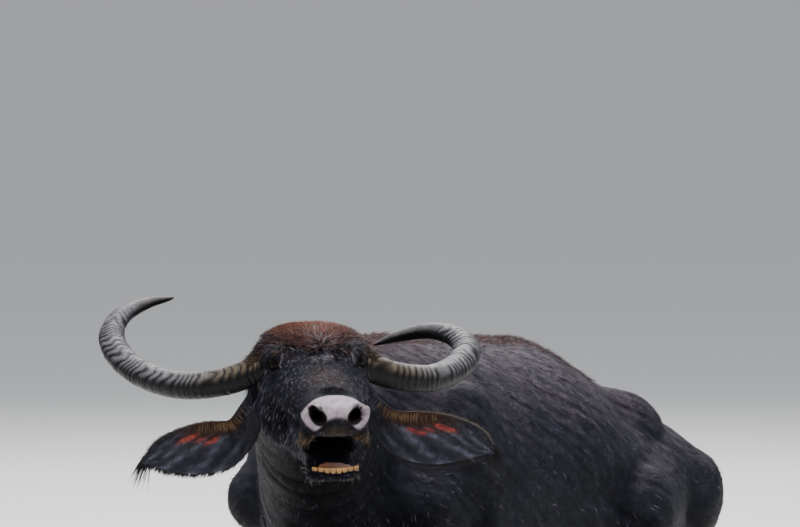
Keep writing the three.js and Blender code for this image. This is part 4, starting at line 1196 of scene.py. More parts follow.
def build_horn(side, s):
    """A horn as rings along its path: ridges up to four fifths of it, then a smooth tip. Its colour
    is painted light: pale where it faces up, near-black below and in the grooves.
    """
    curve = Curve([mirror(p, s) for p in HORN_PATH[side]])
    share = np.linspace(0, 1, HORN_RINGS)
    u = curve.evenly(share)
    at, along = curve.at(u), curve.heading(u)
    up = unit(np.array([0, 0, 1.0]) - along * along[:, 2:])
    out = np.cross(along, up)
    body = np.sqrt(np.maximum(1 - share ** 3.2, 0.004))
    taper = HORN_RADIUS * (1 - 0.22 * share) * body
    turn = around(HORN_SIDES)
    c, sn = np.cos(turn), np.sin(turn)
    wobble = 0.2 * np.sin(3 * turn + 1) + 0.14 * np.sin(5 * turn + 9 * s)
    phase = HORN_RIDGES * (share[:, None] / HORN_RIDGE_END) + wobble + 0.7 * np.maximum(c, 0)
    phase = phase + 0.6 * np.sin(share[:, None] * 31 + s) + 0.3 * np.sin(share[:, None] * 57)
    crest = np.abs(np.sin(np.pi * phase)) ** 0.8
    uneven = 0.65 + 0.35 * np.sin(share * 83 + 2 * s)
    strong = 0.4 + 0.6 * step_between(0.3, 0.5, share)
    depth = (0.13 * uneven * strong * (1 - step_between(0.68, 0.84, share)))[:, None]
    outer = 0.45 + 0.35 * np.abs(c)[None] + 0.3 * np.maximum(sn, 0)[None]
    lines = share[:, None] * 95 + wobble + 0.4 * np.sin(share[:, None] * 90)
    small = 0.008 * np.sin(TAU * lines)
    size = taper[:, None] * (1 + depth * outer * (crest - 0.62) + small * (share[:, None] < 0.8))
    flat = np.where(sn > 0, 0.84, 0.96)
    ring = (at[:, None] + out[:, None] * (size * 1.12 * c)[..., None]
            + up[:, None] * (size * flat * sn)[..., None])
    points, faces = ringed(ring)
    # Painted light: pale on the side facing up and near-black below, with painted shade in the
    # grooves between the ridges.
    faces_up = (out[:, None] * c[None, :, None] + up[:, None] * sn[None, :, None]) @ HEAD_AXES
    high = step_between(-0.15, 0.6, faces_up[..., 2] + 0.2 * wobble + 0.12 * (crest - 0.6))
    groove = (1 - crest) * (1 - step_between(0.7, 0.86, share))[:, None]
    mixed = np.clip(high * (1 - 1.5 * groove), 0, 1)[..., None]
    colour = HORN_SHADED_SIDE + (HORN_LIT_SIDE - HORN_SHADED_SIDE) * mixed
    # The base's own brown and the tip's darker tone are laid on the lit side only; below they stay
    # in painted shade.
    brown = (1 - step_between(0.06, 0.3, share))[:, None, None] * 0.9
    colour = colour + (HORN_BASE * (high * (0.12 + 0.88 * crest ** 2))[..., None] - colour) * brown
    tip = step_between(0.72, 0.95, share)[:, None, None]
    colour = colour + (HORN_TIP * high[..., None] - colour) * tip * 0.7
    colour = np.concatenate([colour.reshape(-1, 3), colour[0, :1], colour[-1, :1]])
    obj = make_piece(f"horn_{side}_ridged", from_head(points), faces, HORN, colour)
    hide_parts(f"horn_{side}")


# Ears: drooping cups that face forward, on a short tube
EAR_THICK = 7
EAR_PATH = {
    "left": [(116, 122, -104), (148, 112, -148), (184, 100, -186), (228, 90, -208),
             (288, 84, -219), (345, 84, -228), (402, 88, -243), (452, 92, -268)],
    "right": [(116, 122, -104), (146, 112, -150), (174, 100, -194), (212, 90, -216),
              (262, 84, -224), (314, 84, -232), (366, 88, -245), (410, 92, -262)],
}
EAR_HALF = (28, 31, 42, 60, 67, 59, 41, 7)
EAR_CUP = (24, 26, 34, 46, 42, 30, 17, 6)
EAR_RINGS = int(150 / DETAIL)
EAR_SIDES = 96


def ear_frame(side, s, u):
    """Middle line, direction up across the ear, direction it faces, half width and cup depth."""
    curve = Curve([mirror(p, s) for p in EAR_PATH[side]])
    at, along = curve.at(u), curve.heading(u)
    face = unit(np.array([0, -1.0, 0]) - along * -along[:, 1:2])
    upward = np.cross(face, along) * s
    wide = smooth_rows(np.stack([EAR_HALF, EAR_CUP], 1), np.asarray(u) * (len(EAR_HALF) - 1))
    return at, along, upward, face, wide[:, 0], wide[:, 1]


# Red patches inside an ear: place along it and across it, and size along and across
EAR_PATCHES = ((0.66, 0.34, 0.085, 0.15), (0.50, 0.02, 0.075, 0.12), (0.57, 0.16, 0.05, 0.06))
EAR_DARK = np.array([0.012, 0.012, 0.017])
EAR_BROWN = np.array([0.030, 0.013, 0.009])
EAR_ROWS = np.array([0.075, 0.076, 0.106])
EAR_RED = np.array([0.300, 0.045, 0.035])
EAR_FOLDS = np.array([0.050, 0.050, 0.072])
EAR_RIM = np.array([0.12, 0.100, 0.080])
EAR_ROW_ALONG = 5.2
EAR_ROW_ACROSS = 1.7


def ear_rows(u, across):
    """The slanting rows inside an ear: 1 on a ridge and 0 between two."""
    bend = 0.16 * np.sin(9 * u + 4 * across) + 0.1 * np.sin(23 * u)
    return 0.5 + 0.5 * np.cos(TAU * (EAR_ROW_ALONG * u + EAR_ROW_ACROSS * across + bend))


def ear_form(side, s, u, across, back):
    """Places on an ear, in the head's frame. across goes from 1 on the upper edge to -1."""
    at, _, upward, face, half, cup = ear_frame(side, s, u)
    hollow = np.clip((u - 0.1) / 0.25, 0, 1)
    wall = cup * 1.7 + (EAR_THICK - cup * 1.7) * hollow
    wave = 0.05 * np.sin(u * 23 + 2 * across + s) * step_between(0.2, 0.4, u)
    depth = (1 - across ** 2) * cup * (1 + wave)
    ridge = 5.0 * (ear_rows(u, across) - 0.5) * np.clip(1 - across ** 2, 0, 1)
    ridge *= step_between(0.24, 0.42, u) * (1 - step_between(0.8, 1, u)) * (back < 0.5)
    ridge *= 0.35 + 0.65 * (1 - step_between(0, 0.4, across))
    thick = wall * np.where(back > 0.5, 0.5, -0.5) * (0.4 + 0.6 * (1 - across ** 4))
    out = (cup * 0.5 - depth - thick + ridge)[:, None]
    return at + upward * ((half - 1.5) * across)[:, None] + face * out


def ear_colour(u, across, back, p):
    """Black with a brown upper part, pale slanting rows below it and red patches between."""
    out = flat_tone(u, EAR_DARK)
    front = (back < 0.5) * 1.0
    grain = ripple(p, 16, 61)
    fine = ripple(p, 6, 62)
    brown = step_between(-0.1, 0.35, across) * (1 - step_between(0.55, 0.8, u))
    brown *= step_between(0.16, 0.26, u)
    out = toward(out, EAR_BROWN, brown * front)
    lobe = (1 - step_between(-0.05, 0.4, across)) * step_between(0.26, 0.42, u)
    lobe = np.clip(lobe + 0.5 * step_between(0.62, 0.8, u) * (across < 0.7), 0, 1)
    rows = ear_rows(u, across) ** 1.6 * (0.75 + 0.35 * grain + 0.3 * fine)
    strokes = ripple(np.stack([u * 60, across * 40, u * 9], 1), 12, 63)
    rows = np.clip(rows * (0.75 + 0.5 * strokes), 0, 1)
    out = toward(out, EAR_ROWS, lobe * (0.1 + 0.9 * rows) * front)
    for at_u, at_across, long, wide in EAR_PATCHES:
        spot = np.hypot((u - at_u) / long, (across - at_across + (u - at_u) * 0.8) / wide)
        red = (1 - step_between(0.3, 1.15, spot + 0.2 * fine)) * (0.75 + 0.35 * grain)
        out = toward(out, EAR_RED, red * front)
    root = 1 - step_between(0.16, 0.3, u)
    folds = 0.5 + 0.5 * np.cos(TAU * (u * 40 + 0.9 * across + 0.2 * grain))
    out = toward(out, EAR_FOLDS, root * folds ** 2 * (across > 0) * 0.7)
    rim = step_between(0.955, 0.995, across) * step_between(0.2, 0.35, u)
    return toward(out, EAR_RIM, rim * 0.8)


def build_ear(side, s):
    u = np.repeat(np.linspace(0, 1, EAR_RINGS), EAR_SIDES)
    i = np.tile(np.arange(EAR_SIDES), EAR_RINGS)
    on_back = i < EAR_SIDES / 2
    t = np.where(on_back, i, EAR_SIDES - 1 - i) / (EAR_SIDES / 2 - 1)
    across = np.cos(np.pi * t)
    at = ear_form(side, s, u, across, on_back * 1.0)
    points, faces = ringed(at.reshape(EAR_RINGS, EAR_SIDES, 3))
    colour = np.clip(with_ends(ear_colour(u, across, on_back * 1.0, at)), 0.003, 1)
    obj = make_piece(f"ear_{side}_cup", from_head(points), faces, EAR, colour)
    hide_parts(f"ear_{side}")


# Eyes: dark, wet balls behind the lids
IRIS = np.array([[0.004, 0.0028, 0.002]])
EYE_WHITE = np.array([[0.012, 0.008, 0.006]])
IRIS_EDGE = 0.62
EYE_SIDES = 64


def build_eye(side, s):
    polar = np.linspace(0.02, np.pi - 0.02, EYE_SIDES)
    turn = around(EYE_SIDES)
    look = unit(LOOK)
    across = unit(np.cross([0, 0, 1], look))
    up = np.cross(look, across)
    bulge = 1.6 * np.exp(-(polar / 0.42) ** 4)
    radius = EYE_RADIUS - 1.2 + bulge
    wide = (radius * np.sin(polar))[:, None, None]
    ring = (EYE_AT + look * (radius * np.cos(polar))[:, None, None]
            + across * wide * np.cos(turn)[None, :, None]
            + up * wide * np.sin(turn)[None, :, None])
    points, faces = ringed(ring)
    points[:, 0] *= s
    colour = np.where(polar[:, None] < IRIS_EDGE, IRIS, EYE_WHITE)
    colour = with_ends(np.repeat(colour, EYE_SIDES, 0))
    world = from_head(points)
    obj = make_piece(f"eye_{side}_ball", world, outward(world, faces), EYE, colour)
    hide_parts(f"eye_{side}")


# Claws: two to a foot, each a wedge with a flat sole
CLAW_ROWS = [(0, 1, 1), (0.2, 1.06, 0.98), (0.5, 1.02, 0.78), (0.8, 0.82, 0.5), (1, 0.42, 0.2)]
CLAW_OUTLINE = [(0, 0), (0, 0.55), (0.1, 0.95), (0.42, 1), (0.76, 0.84), (0.96, 0.4), (0.9, 0),
                (0.45, 0)]
CLAW_COLOUR = (0.014, 0.013, 0.012)
CLAW_RINGS = 28
CLAW_SIDES = 40
GAP = 0.3
CUT_DEPTH = 6


def build_claws(leg, s, places, sole_down):
    """The claws of one foot. sole_down is -1 where the sole is turned up."""
    toe, level = end_of(places, s)
    at = toe + level * (CUT_DEPTH + GAP)
    up = np.array([0, 0, float(sole_down)])
    side = np.cross(level, up)
    at[2] = 0 if sole_down > 0 else CLAW_HEIGHT
    rows = smooth_rows(CLAW_ROWS, np.linspace(0, len(CLAW_ROWS) - 1, CLAW_RINGS))
    corners = np.array(CLAW_OUTLINE, float)
    turn = np.linspace(0, len(corners), CLAW_SIDES + 1)[:-1]
    closed = np.concatenate([corners[-1:], corners, corners[:2]])
    outline = np.maximum(smooth_rows(closed, turn + 1), 0)
    for inner in (1, -1):
        x = inner * (outline[None, :, 0] * rows[:, 1:2] * CLAW_WIDTH + (1 - rows[:, 1:2]) * 4 + 3)
        y = np.repeat(rows[:, :1] * CLAW_LENGTH, len(outline), 1)
        z = outline[None, :, 1] * rows[:, 2:] * CLAW_HEIGHT
        points, faces = ringed(np.stack([x, y, z], -1))
        world = rigid(points, at, [side, level, up])
        which = "outer" if inner * s * sole_down > 0 else "inner"
        tone = flat_tone(world, CLAW_COLOUR)
        obj = make_piece(f"{leg}_claw_{which}_grown", world, outward(world, faces), HOOF, tone)
        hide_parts(f"{leg}_claw_{which}")


# Tongue and lower front teeth
TONGUE_TAPER = 0.86
TONGUE = dict(back=(0, -186, -172), front=(0, -256, -181), wide=31, thick=10)
TONGUE_RINGS = 80
TONGUE_SIDES = 48
TOOTH_COUNT = 8
TOOTH_ARC = dict(wide=50, deep=16, front=-280)
TOOTH = dict(wide=11.4, thick=7, top=-177, root=-200)
TOOTH_SIDES = 20
TOOTH_RINGS = 14
TONGUE_ORANGE = np.array([0.42, 0.165, 0.070])
TONGUE_PINK = np.array([0.46, 0.270, 0.240])
TOOTH_ROOT = np.array([0.070, 0.028, 0.009])
TOOTH_CROWN = np.array([0.460, 0.225, 0.052])


def build_tongue():
    size = np.array([TONGUE["wide"] + 24, TONGUE["wide"], TONGUE["thick"] - 3], float) - 0.4
    back, front = np.array(TONGUE["back"], float), np.array(TONGUE["front"], float)
    t = np.linspace(0, 1, TONGUE_RINGS)
    span = front - back
    turn = around(TONGUE_SIDES)
    radius = 1 + (TONGUE_TAPER - 1) * t
    reach = np.linalg.norm(span)
    ends = np.sqrt(np.clip(1 - (1 - np.minimum(t, 0.16) / 0.16) ** 2, 0.003, 1))
    ends *= np.sqrt(np.clip(1 - (1 - np.minimum(1 - t, 0.3) / 0.3) ** 2, 0.003, 1))
    middle = back - span / reach * 28 + span * t[:, None] * (reach + 50) / reach
    middle = middle + np.stack([4 * t, 0 * t, -5 * t], 1)
    groove = 1.6 * np.exp(-(np.cos(turn) / 0.22) ** 2) * (np.sin(turn) > 0)
    x = np.cos(turn)[None] * (radius * ends * size[0])[:, None]
    z = np.sin(turn)[None] * (radius * ends ** 0.5 * size[2])[:, None] - groove[None]
    ring = middle[:, None] + np.stack([x, np.zeros_like(x), z], -1)
    points, faces = ringed(ring)
    leftward = step_between(-30, 20, points[:, 0] + 8 * ripple(points, 30, 71))[:, None]
    tone = TONGUE_ORANGE + (TONGUE_PINK - TONGUE_ORANGE) * leftward
    obj = make_piece("tongue_flesh", from_head(points), faces, TONGUE_SKIN, tone)
    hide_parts("tongue")


def build_teeth():
    all_points, all_faces, tones, base = [], [], [], 0
    for i in range(TOOTH_COUNT):
        t = (i + 0.5) / TOOTH_COUNT * 2 - 1
        at = np.array([7 + t * TOOTH_ARC["wide"] * 1.12,
                       TOOTH_ARC["front"] + TOOTH_ARC["deep"] * t * t, 0])
        height = np.linspace(TOOTH["root"], TOOTH["top"], TOOTH_RINGS)
        turn = around(TOOTH_SIDES)
        share = (height - height[0]) / (height[-1] - height[0])
        wide = TOOTH["wide"] * (0.26 + 0.42 * share ** 0.7) * (1 - np.maximum(share - 0.85, 0))
        thick = TOOTH["thick"] * (0.5 - 0.33 * share)
        x, y = (np.sign(v) * np.abs(v) ** 0.6 for v in (np.cos(turn), np.sin(turn)))
        ring = np.stack([x[None] * wide[:, None], y[None] * thick[:, None] - 1.5 * share[:, None],
                         np.repeat(height[:, None], TOOTH_SIDES, 1)], -1)
        c, sn = np.cos(t * 0.5), np.sin(t * 0.5)
        ring = ring @ np.array([[c, sn, 0], [-sn, c, 0], [0, 0, 1]]) + at
        points, faces = ringed(ring)
        grown_out = np.append(np.repeat(share, TOOTH_SIDES), (0, 1))[:, None] ** 0.8
        uneven = 0.85 + 0.15 * np.sin(5 * i + 1)
        tones.append((TOOTH_ROOT + (TOOTH_CROWN - TOOTH_ROOT) * grown_out) * uneven)
        all_points.append(points)
        all_faces.append(faces + base)
        base += len(points)
    world = from_head(np.concatenate(all_points))
    faces = outward(world, np.concatenate(all_faces))
    obj = make_piece("lower_teeth", world, faces, ENAMEL, np.concatenate(tones))


for side_name, side_sign in (("left", 1), ("right", -1)):
    build_horn(side_name, side_sign)
    build_ear(side_name, side_sign)
    build_eye(side_name, side_sign)
    build_claws(f"foreleg_{side_name}", side_sign, FORE, -1)
    build_claws(f"hindleg_{side_name}", side_sign, HIND, 1)
build_tongue()
build_teeth()


# Locks of hair. On the bake's map each lock is a small patch round its root.
PATCH_RADIUS = 0.0013
PATCH_TURN = 2.4


class Locks:
    """Flat tapered locks gathered into pieces, each with its own place on the bake's map."""

    def __init__(self):
        self.points, self.faces, self.colours, self.uv = [], [], [], []
        self.count = 0

    def add(self, rings, colours, uv):
        """rings is locks x rings x sides x 3, with the last ring drawn into a point. colours
        are those of each lock's root and tip, and uv its place on the map."""
        many, steps, sides, _ = rings.shape
        tips = rings[:, -1].mean(1, keepdims=True)
        body = rings[:, :-1].reshape(many, -1, 3)
        points = np.concatenate([body, tips, rings[:, 0].mean(1, keepdims=True)], 1)
        each = points.shape[1]
        faces = []
        for r in range(steps - 2):
            for i in range(sides):
                a, b = r * sides + i, r * sides + (i + 1) % sides
                faces += [(a, b, b + sides), (a, b + sides, a + sides)]
        last = (steps - 2) * sides
        for i in range(sides):
            n = (i + 1) % sides
            faces += [(last + i, last + n, each - 2), (n, i, each - 1)]
        faces = np.array(faces)
        starts = self.count + np.arange(many)[:, None, None] * each
        self.points.append(points.reshape(-1, 3))
        self.faces.append((faces[None] + starts).reshape(-1, 3))
        step = np.concatenate([np.repeat(np.arange(steps - 1), sides), [steps - 1, 0]])
        share = (step / (steps - 1))[None, :, None]
        root, tip = colours
        self.colours.append((root[:, None] + (tip - root)[:, None] * share).reshape(-1, 3))
        turn = np.arange(each) * PATCH_TURN
        patch = uv[:, None] + PATCH_RADIUS * np.stack([np.cos(turn), np.sin(turn)], 1)[None]
        self.uv.append(patch.reshape(-1, 2))
        self.count += many * each

    def piece(self, name, material):
        points = np.concatenate(self.points)
        faces = outward(points, np.concatenate(self.faces))
        obj = make_piece(name, points, faces, material, np.concatenate(self.colours),
                         uv=np.clip(np.concatenate(self.uv), 0, 1))
        return obj


LOCK_SECTIONS = {3: ((1, -0.4), (0, 1), (-1, -0.4)), 4: ((1, 0), (0, 1), (-1, 0), (0, -1))}


def lock_rings(roots, bends, tips, faces, wide, thick, steps, point=0.12, sides=3):
    """Rings of points along each lock, from its root past its bend to its tip."""
    t = np.linspace(0, 1, steps)[None, :, None]
    a = roots[:, None] + (bends - roots)[:, None] * t
    b = bends[:, None] + (tips - bends)[:, None] * t
    at = a + (b - a) * t
    along = unit((bends - roots)[:, None] + ((tips - bends) - (bends - roots))[:, None] * t)
    side = unit(np.cross(along, faces[:, None]))
    out = np.cross(side, along)
    taper = 1 + (point - 1) * t ** 1.4
    return np.stack([
        at + side * (w * 0.5 * wide[:, None, None] * taper)
        + out * (h * 0.5 * thick[:, None, None] * taper) for w, h in LOCK_SECTIONS[sides]
    ], 2)


# How deep the locks are rooted in the skin, and how far they stay above the floor
ROOT_DEPTH = 1.6
LOCK_GAP = 0.6
SWITCH_GAP = 0.8
FACE_CORNERS = skin_points[skin_faces]
FACE_MIDDLES = FACE_CORNERS.mean(1)
FACE_AREAS = np.linalg.norm(np.cross(FACE_CORNERS[:, 1] - FACE_CORNERS[:, 0],
                                     FACE_CORNERS[:, 2] - FACE_CORNERS[:, 0]), axis=1) / 2
MIDDLES_IN_HEAD = to_head(FACE_MIDDLES)
OFF_FLOOR = step_between(4, 26, FACE_MIDDLES[:, 2])


def body_map(p):
    """The skin unwrapped round the trunk: along it and round it, both from 0 to 1."""
    turn = np.arctan2(p[:, 0] - 0.14 * np.maximum(-p[:, 1] - 600, 0), p[:, 2] - 330)
    return np.stack([(p[:, 1] + 1950) / 3200, turn / TAU + 0.5], 1)


def head_map(p):
    """The skin unwrapped round the head, in the head's frame."""
    q = to_head(p)
    return np.stack([(q[:, 1] + 380) / 800, np.arctan2(q[:, 0], q[:, 2] + 75) / TAU + 0.5], 1)


def hair_roots(rng, count, weight):
    """Places spread over the skin by weight, with the skin's normals there."""
    chance = np.cumsum(FACE_AREAS * np.maximum(weight, 0))
    face = np.searchsorted(chance, rng.random(count) * chance[-1])
    a, b = rng.random((2, count, 1))
    flip = a + b > 1
    a, b = np.where(flip, 1 - a, a), np.where(flip, 1 - b, b)
    share = np.stack([1 - a - b, a, b], 1)
    corners = skin_faces[face]
    at = (skin_points[corners] * share).sum(1)
    return at, unit((skin_normals[corners] * share).sum(1))


def grown(locks, rng, count, weight, long, wide, lift, colour=None, thick=0.4, wild=0.18,
          light=None, steps=4, unwrap=body_map, way=None, curl=0.0, mix=5.0):
    """Locks rooted in the skin that follow the lie of the hair, or the way given. They take
    the colour of the hide up to about mix millimetres off. light is the share of locks of
    another colour, with that colour."""
    at, n = hair_roots(rng, count, weight)
    lie = lie_of_hair(at, n) if way is None else way(at, n)
    lie = lie + wild * rng.normal(size=lie.shape)
    lie = along_skin(lie, n)
    across = np.cross(n, lie)
    length = (long(at) if callable(long) else long) * rng.uniform(0.65, 1.2, count)
    rise = (lift * rng.uniform(0.4, 1.5, count) * length)[:, None]
    root = at - n * ROOT_DEPTH
    bend = root + lie * (length * 0.5)[:, None] + n * (rise + 1.4)
    sway = curl * rng.normal(size=count) * length
    tip = root + lie * (length * 0.98)[:, None] + n * (rise * 0.8 + 0.8) + across * sway[:, None]
    width = wide * rng.uniform(0.7, 1.3, count)
    rings = lock_rings(root, bend, tip, n, width, width * thick, steps)
    rings[..., 2] = np.maximum(rings[..., 2], LOCK_GAP)
    near = at + mix * rng.normal(size=at.shape)
    tone = hide_colour(near, n) if colour is None else flat_tone(at, colour)
    tone = tone * np.clip(np.exp(0.5 * rng.normal(size=(count, 1))), 0.35, 2.6)
    if light is not None:
        share, other = light
        pale = rng.random((count, 1)) < share
        tone = np.where(pale, np.array(other) * rng.uniform(0.6, 1.3, (count, 1)), tone)
    locks.add(rings, (np.clip(tone * 0.6, 0, 1), np.clip(tone * 1.5, 0, 1)), unwrap(at))


HEAD_SEED = 7
BODY_SEED = 11
EAR_SEED = 21
SWITCH_SEED = 3
HAIR_SHARE = 1.0


def many(count):
    """How many locks to draw for a full count."""
    return int(count * HAIR_SHARE)


def bare(q):
    """1 where the head has no hair: nose pad, mouth and eyes."""
    r = folded(q)
    eye = np.linalg.norm(r - EYE_AT, axis=1) < 29.5
    hole = (mouth_space(q) < 12) | (nostril(r) < 11)
    return np.clip(nose_pad(q) * 1.5 + eye + hole, 0, 1)


HEAD_WEIGHT = in_head(MIDDLES_IN_HEAD)
HAIRY_HEAD = HEAD_WEIGHT * (1 - bare(MIDDLES_IN_HEAD))
BODY_WEIGHT = (1 - HEAD_WEIGHT) * OFF_FLOOR
CROWN_WEIGHT = crown(MIDDLES_IN_HEAD) * HEAD_WEIGHT
PALE = (0.185, 0.160, 0.170)
TAN = (0.21, 0.132, 0.064)
HORN_FRINGE = (0.022, 0.013, 0.010)


def coat_piece(name, rng, *layers, unwrap=body_map):
    """A piece of the coat from layers of locks, each with its count and what grown takes."""
    locks = Locks()
    for count, layer in layers:
        grown(locks, rng, many(count), unwrap=unwrap, **layer)
    locks.piece(name, COAT_HAIR)


def face_long(at):
    return 5 + 11 * step_between(-290, -140, to_head(at)[:, 1])


def cheek_long(at):
    q = to_head(at)
    return 9 + 16 * step_between(-250, -60, q[:, 1]) * (1 - step_between(-30, 40, q[:, 2]))


def from_horn(at, n):
    outward_way = (np.sign(to_head(at)[:, :1]) * (1, 0, 0) + (0, 0.25, -0.15)) @ HEAD_AXES
    return along_skin(outward_way, n)


def from_dent(at, n):
    return along_skin((to_head(at) * (1, 1, 0) - (8, -4, 0)) @ HEAD_AXES, n)


def build_head_coat():
    rng = np.random.default_rng(HEAD_SEED)
    q = MIDDLES_IN_HEAD
    r = folded(q)
    edge = np.maximum(CROWN_WEIGHT, 0.45 * near_point(r, (70, 60, 30), (90, 80, 70)) * HAIRY_HEAD)
    whorl = near_point(q, (16, 66, 44), (44, 74, 34)) * HEAD_WEIGHT
    horn_base = near_point(r, (116, 88, -24), (40, 60, 60)) * HEAD_WEIGHT
    dent = near_point(q, (6, -34, 26), (28, 30, 20)) * HAIRY_HEAD
    on_top = step_between(-60, -20, q[:, 2])
    face = HAIRY_HEAD * (1 - CROWN_WEIGHT) * on_top
    cheeks = HAIRY_HEAD * (1 - on_top)
    lip = upper_lip(q) * HAIRY_HEAD
    philtrum = near_point(q, (0, -334, -80), (46, 40, 34)) * HAIRY_HEAD
    chin = near_point(r, (58, -262, -200), (34, 60, 30)) * HAIRY_HEAD
    whisker = near_point(r, (62, -296, -112), (36, 46, 28)) * HAIRY_HEAD
    for name, *layers in (
        ("crown",
         (7800, dict(weight=edge, long=25, wide=2.0, lift=0.26, wild=0.3, steps=5, curl=0.15,
                     light=(0.06, (0.13, 0.070, 0.045)), mix=19.0))),
        ("forehead",
         (620, dict(weight=whorl, long=24, wide=1.0, lift=0.3, wild=0.3, steps=5, curl=0.2,
                    light=(0.6, PALE))),
         (1700, dict(weight=horn_base, long=26, wide=2.2, lift=0.24, wild=0.3, steps=5,
                     curl=0.15, colour=HORN_FRINGE, way=from_horn)),
         (130, dict(weight=dent, long=27, wide=0.8, lift=0.34, wild=0.35, steps=5, curl=0.15,
                    light=(0.55, (0.26, 0.23, 0.27)), way=from_dent))),
        ("face",
         (5800, dict(weight=face, long=face_long, wide=1.5, lift=0.2,
                     light=(0.2, (0.17, 0.145, 0.175))))),
        ("cheeks",
         (8200, dict(weight=cheeks, long=cheek_long, wide=1.8, lift=0.18, wild=0.2,
                     light=(0.2, (0.120, 0.115, 0.155))))),
        ("muzzle",
         (1500, dict(weight=lip, long=6, wide=0.9, lift=0.3, wild=0.4, light=(0.4, TAN))),
         (420, dict(weight=philtrum, long=4, wide=0.9, lift=0.3, wild=0.4, light=(0.4, TAN))),
         (130, dict(weight=chin, long=17, wide=0.9, lift=0.7, wild=0.5, steps=5, curl=0.2,
                    light=(0.35, (0.20, 0.18, 0.15)))),
         (70, dict(weight=whisker, long=15, wide=0.7, lift=0.8, wild=0.5, steps=6, curl=0.25,
                   light=(0.5, TAN)))),
    ):
        coat_piece(f"coat_{name}", rng, *layers, unwrap=head_map)


def coronet(leg, s):
    """Hair from the end of a foot over the tops of its claws."""
    toe, level = end_of(leg, s)

    def onward(at, n):
        flow = np.repeat(level[None], len(at), 0)
        return unit(flow - n * (n @ level)[:, None] + 1e-6)
    return 300, dict(weight=near_point(FACE_MIDDLES, toe, (58, 58, 58)), long=24, wide=2.4,
                     lift=0.12, steps=5, way=onward)


def build_body_coat():
    rng = np.random.default_rng(BODY_SEED)
    p = FACE_MIDDLES
    on_neck = 1 - step_between(-820, -560, p[:, 1])
    trunk = BODY_WEIGHT * (1 - on_neck) * (1 - 0.6 * (1 - step_between(60, 220, p[:, 2])))
    for side, part in (("left", p[:, 0] > 0), ("right", p[:, 0] <= 0)):
        coat_piece(f"coat_body_{side}", rng, (9000, dict(
            weight=trunk * part, long=32, wide=2.8, lift=0.04, thick=0.35, wild=0.16,
            light=(0.06, (0.075, 0.068, 0.092)))))
    coat_piece("coat_neck", rng, (8600, dict(
        weight=BODY_WEIGHT * on_neck, long=25, wide=2.4, lift=0.06, thick=0.35, wild=0.2,
        light=(0.1, (0.065, 0.062, 0.085)))))
    spine = np.exp(-(p[:, 0] / 60) ** 2) * step_between(-800, -640, p[:, 1])
    spine *= (1 - step_between(560, 760, p[:, 1])) * (p[:, 2] > 480)
    coat_piece("coat_spine", rng, (3400, dict(
        weight=spine * BODY_WEIGHT, long=34, wide=2.4, lift=0.2, wild=0.28, steps=5, mix=26.0,
        light=(0.1, (0.10, 0.058, 0.045)))))
    coat_piece("coat_feet", rng, *(coronet(leg, s) for leg in (FORE, HIND) for s in (1, -1)))


EAR_GOLD = (0.17, 0.108, 0.058)
EAR_RIM_HAIR = (0.110, 0.088, 0.068)
EAR_BLACK = (0.010, 0.009, 0.010)
EAR_EDGE = 0.985
EAR_TIP_LOCKS = 46


def ear_hair(side, s):
    """Hair on an ear: fine inside, golden below the upper rim, black round the lower rim."""
    rng = np.random.default_rng(EAR_SEED + s)
    locks = Locks()

    def add(u, across, way, length, wide, lift, colour=None, steps=4, droop=0.0, back=0.0):
        """Locks at places on the ear. way is their heading as shares of the ear's own along
        and upward. Without a colour they take the ear's."""
        back = np.full(len(u), back)
        at = ear_form(side, s, u, across, back)
        tone = ear_colour(u, across, back, at) if colour is None else flat_tone(u, colour)
        _, along, upward, face, half, cup = ear_frame(side, s, u)
        front = np.where(back > 0.5, -1, 1)
        n = unit(face * front[:, None] - upward * (2 * across * cup / half * front)[:, None])
        heading = unit(along * way[0] + upward * way[1] + 0.16 * rng.normal(size=at.shape))
        long = (length * rng.uniform(0.6, 1.25, len(u)))[:, None]
        root = at - n * 1.0
        bend = root + heading * long * 0.5 + n * long * lift
        tip = root + heading * long + n * long * lift * 0.7 + np.array([0, 0, -1.0]) * long * droop
        width = wide * rng.uniform(0.7, 1.3, len(u))
        rings = lock_rings(root, bend, tip, n, width, width * 0.4, steps)
        rings = from_head(rings.reshape(-1, 3)).reshape(rings.shape)
        tone = np.clip(tone * rng.uniform(0.6, 1.4, (len(u), 1)), 0, 1)
        locks.add(rings, (tone, np.clip(tone * 1.3, 0, 1)), np.stack([u, across / 2 + 0.5], 1))

    count = many(1500)
    u, across = rng.uniform(0.16, 0.97, count), rng.uniform(-0.93, 0.93, count)
    add(u, across, (1, -0.6), 15, 1.4, 0.14)
    count = many(1100)
    u, across = rng.uniform(0.08, 0.97, count), rng.uniform(-0.95, 0.95, count)
    add(u, across, (1, -0.2), 15, 1.8, 0.08, back=1.0)
    count = many(110)
    u = np.clip(0.36 + 0.1 * rng.normal(size=count), 0.16, 0.58)
    add(u, rng.uniform(0.8, 0.95, count), (0.35, -1), 20, 1.0, 0.2, EAR_GOLD, 6, 0.1)
    count = many(420)
    u = rng.uniform(0.22, 0.95, count)
    add(u, np.full(count, EAR_EDGE), (1, 0.5), 8, 0.9, 0.1, EAR_RIM_HAIR)
    count = many(520)
    u = rng.uniform(0.14, 0.97, count)
    add(u, np.full(count, -EAR_EDGE), (0.8, -0.8), 11, 1.7, 0.05, EAR_BLACK, 5, 0.2)
    across = np.linspace(0.9, -0.9, EAR_TIP_LOCKS)
    u = 0.93 + 0.05 * (1 - across ** 2)
    fan = 0.5 * across[:, None] - 0.5
    add(u, across * 0.8, (1, fan), 40, 2.6, 0.05, EAR_BLACK, 8, 0.7)
    locks.piece(f"coat_ear_{side}", COAT_HAIR)


build_head_coat()
build_body_coat()
for side_name, side_sign in (("left", 1), ("right", -1)):
    ear_hair(side_name, side_sign)


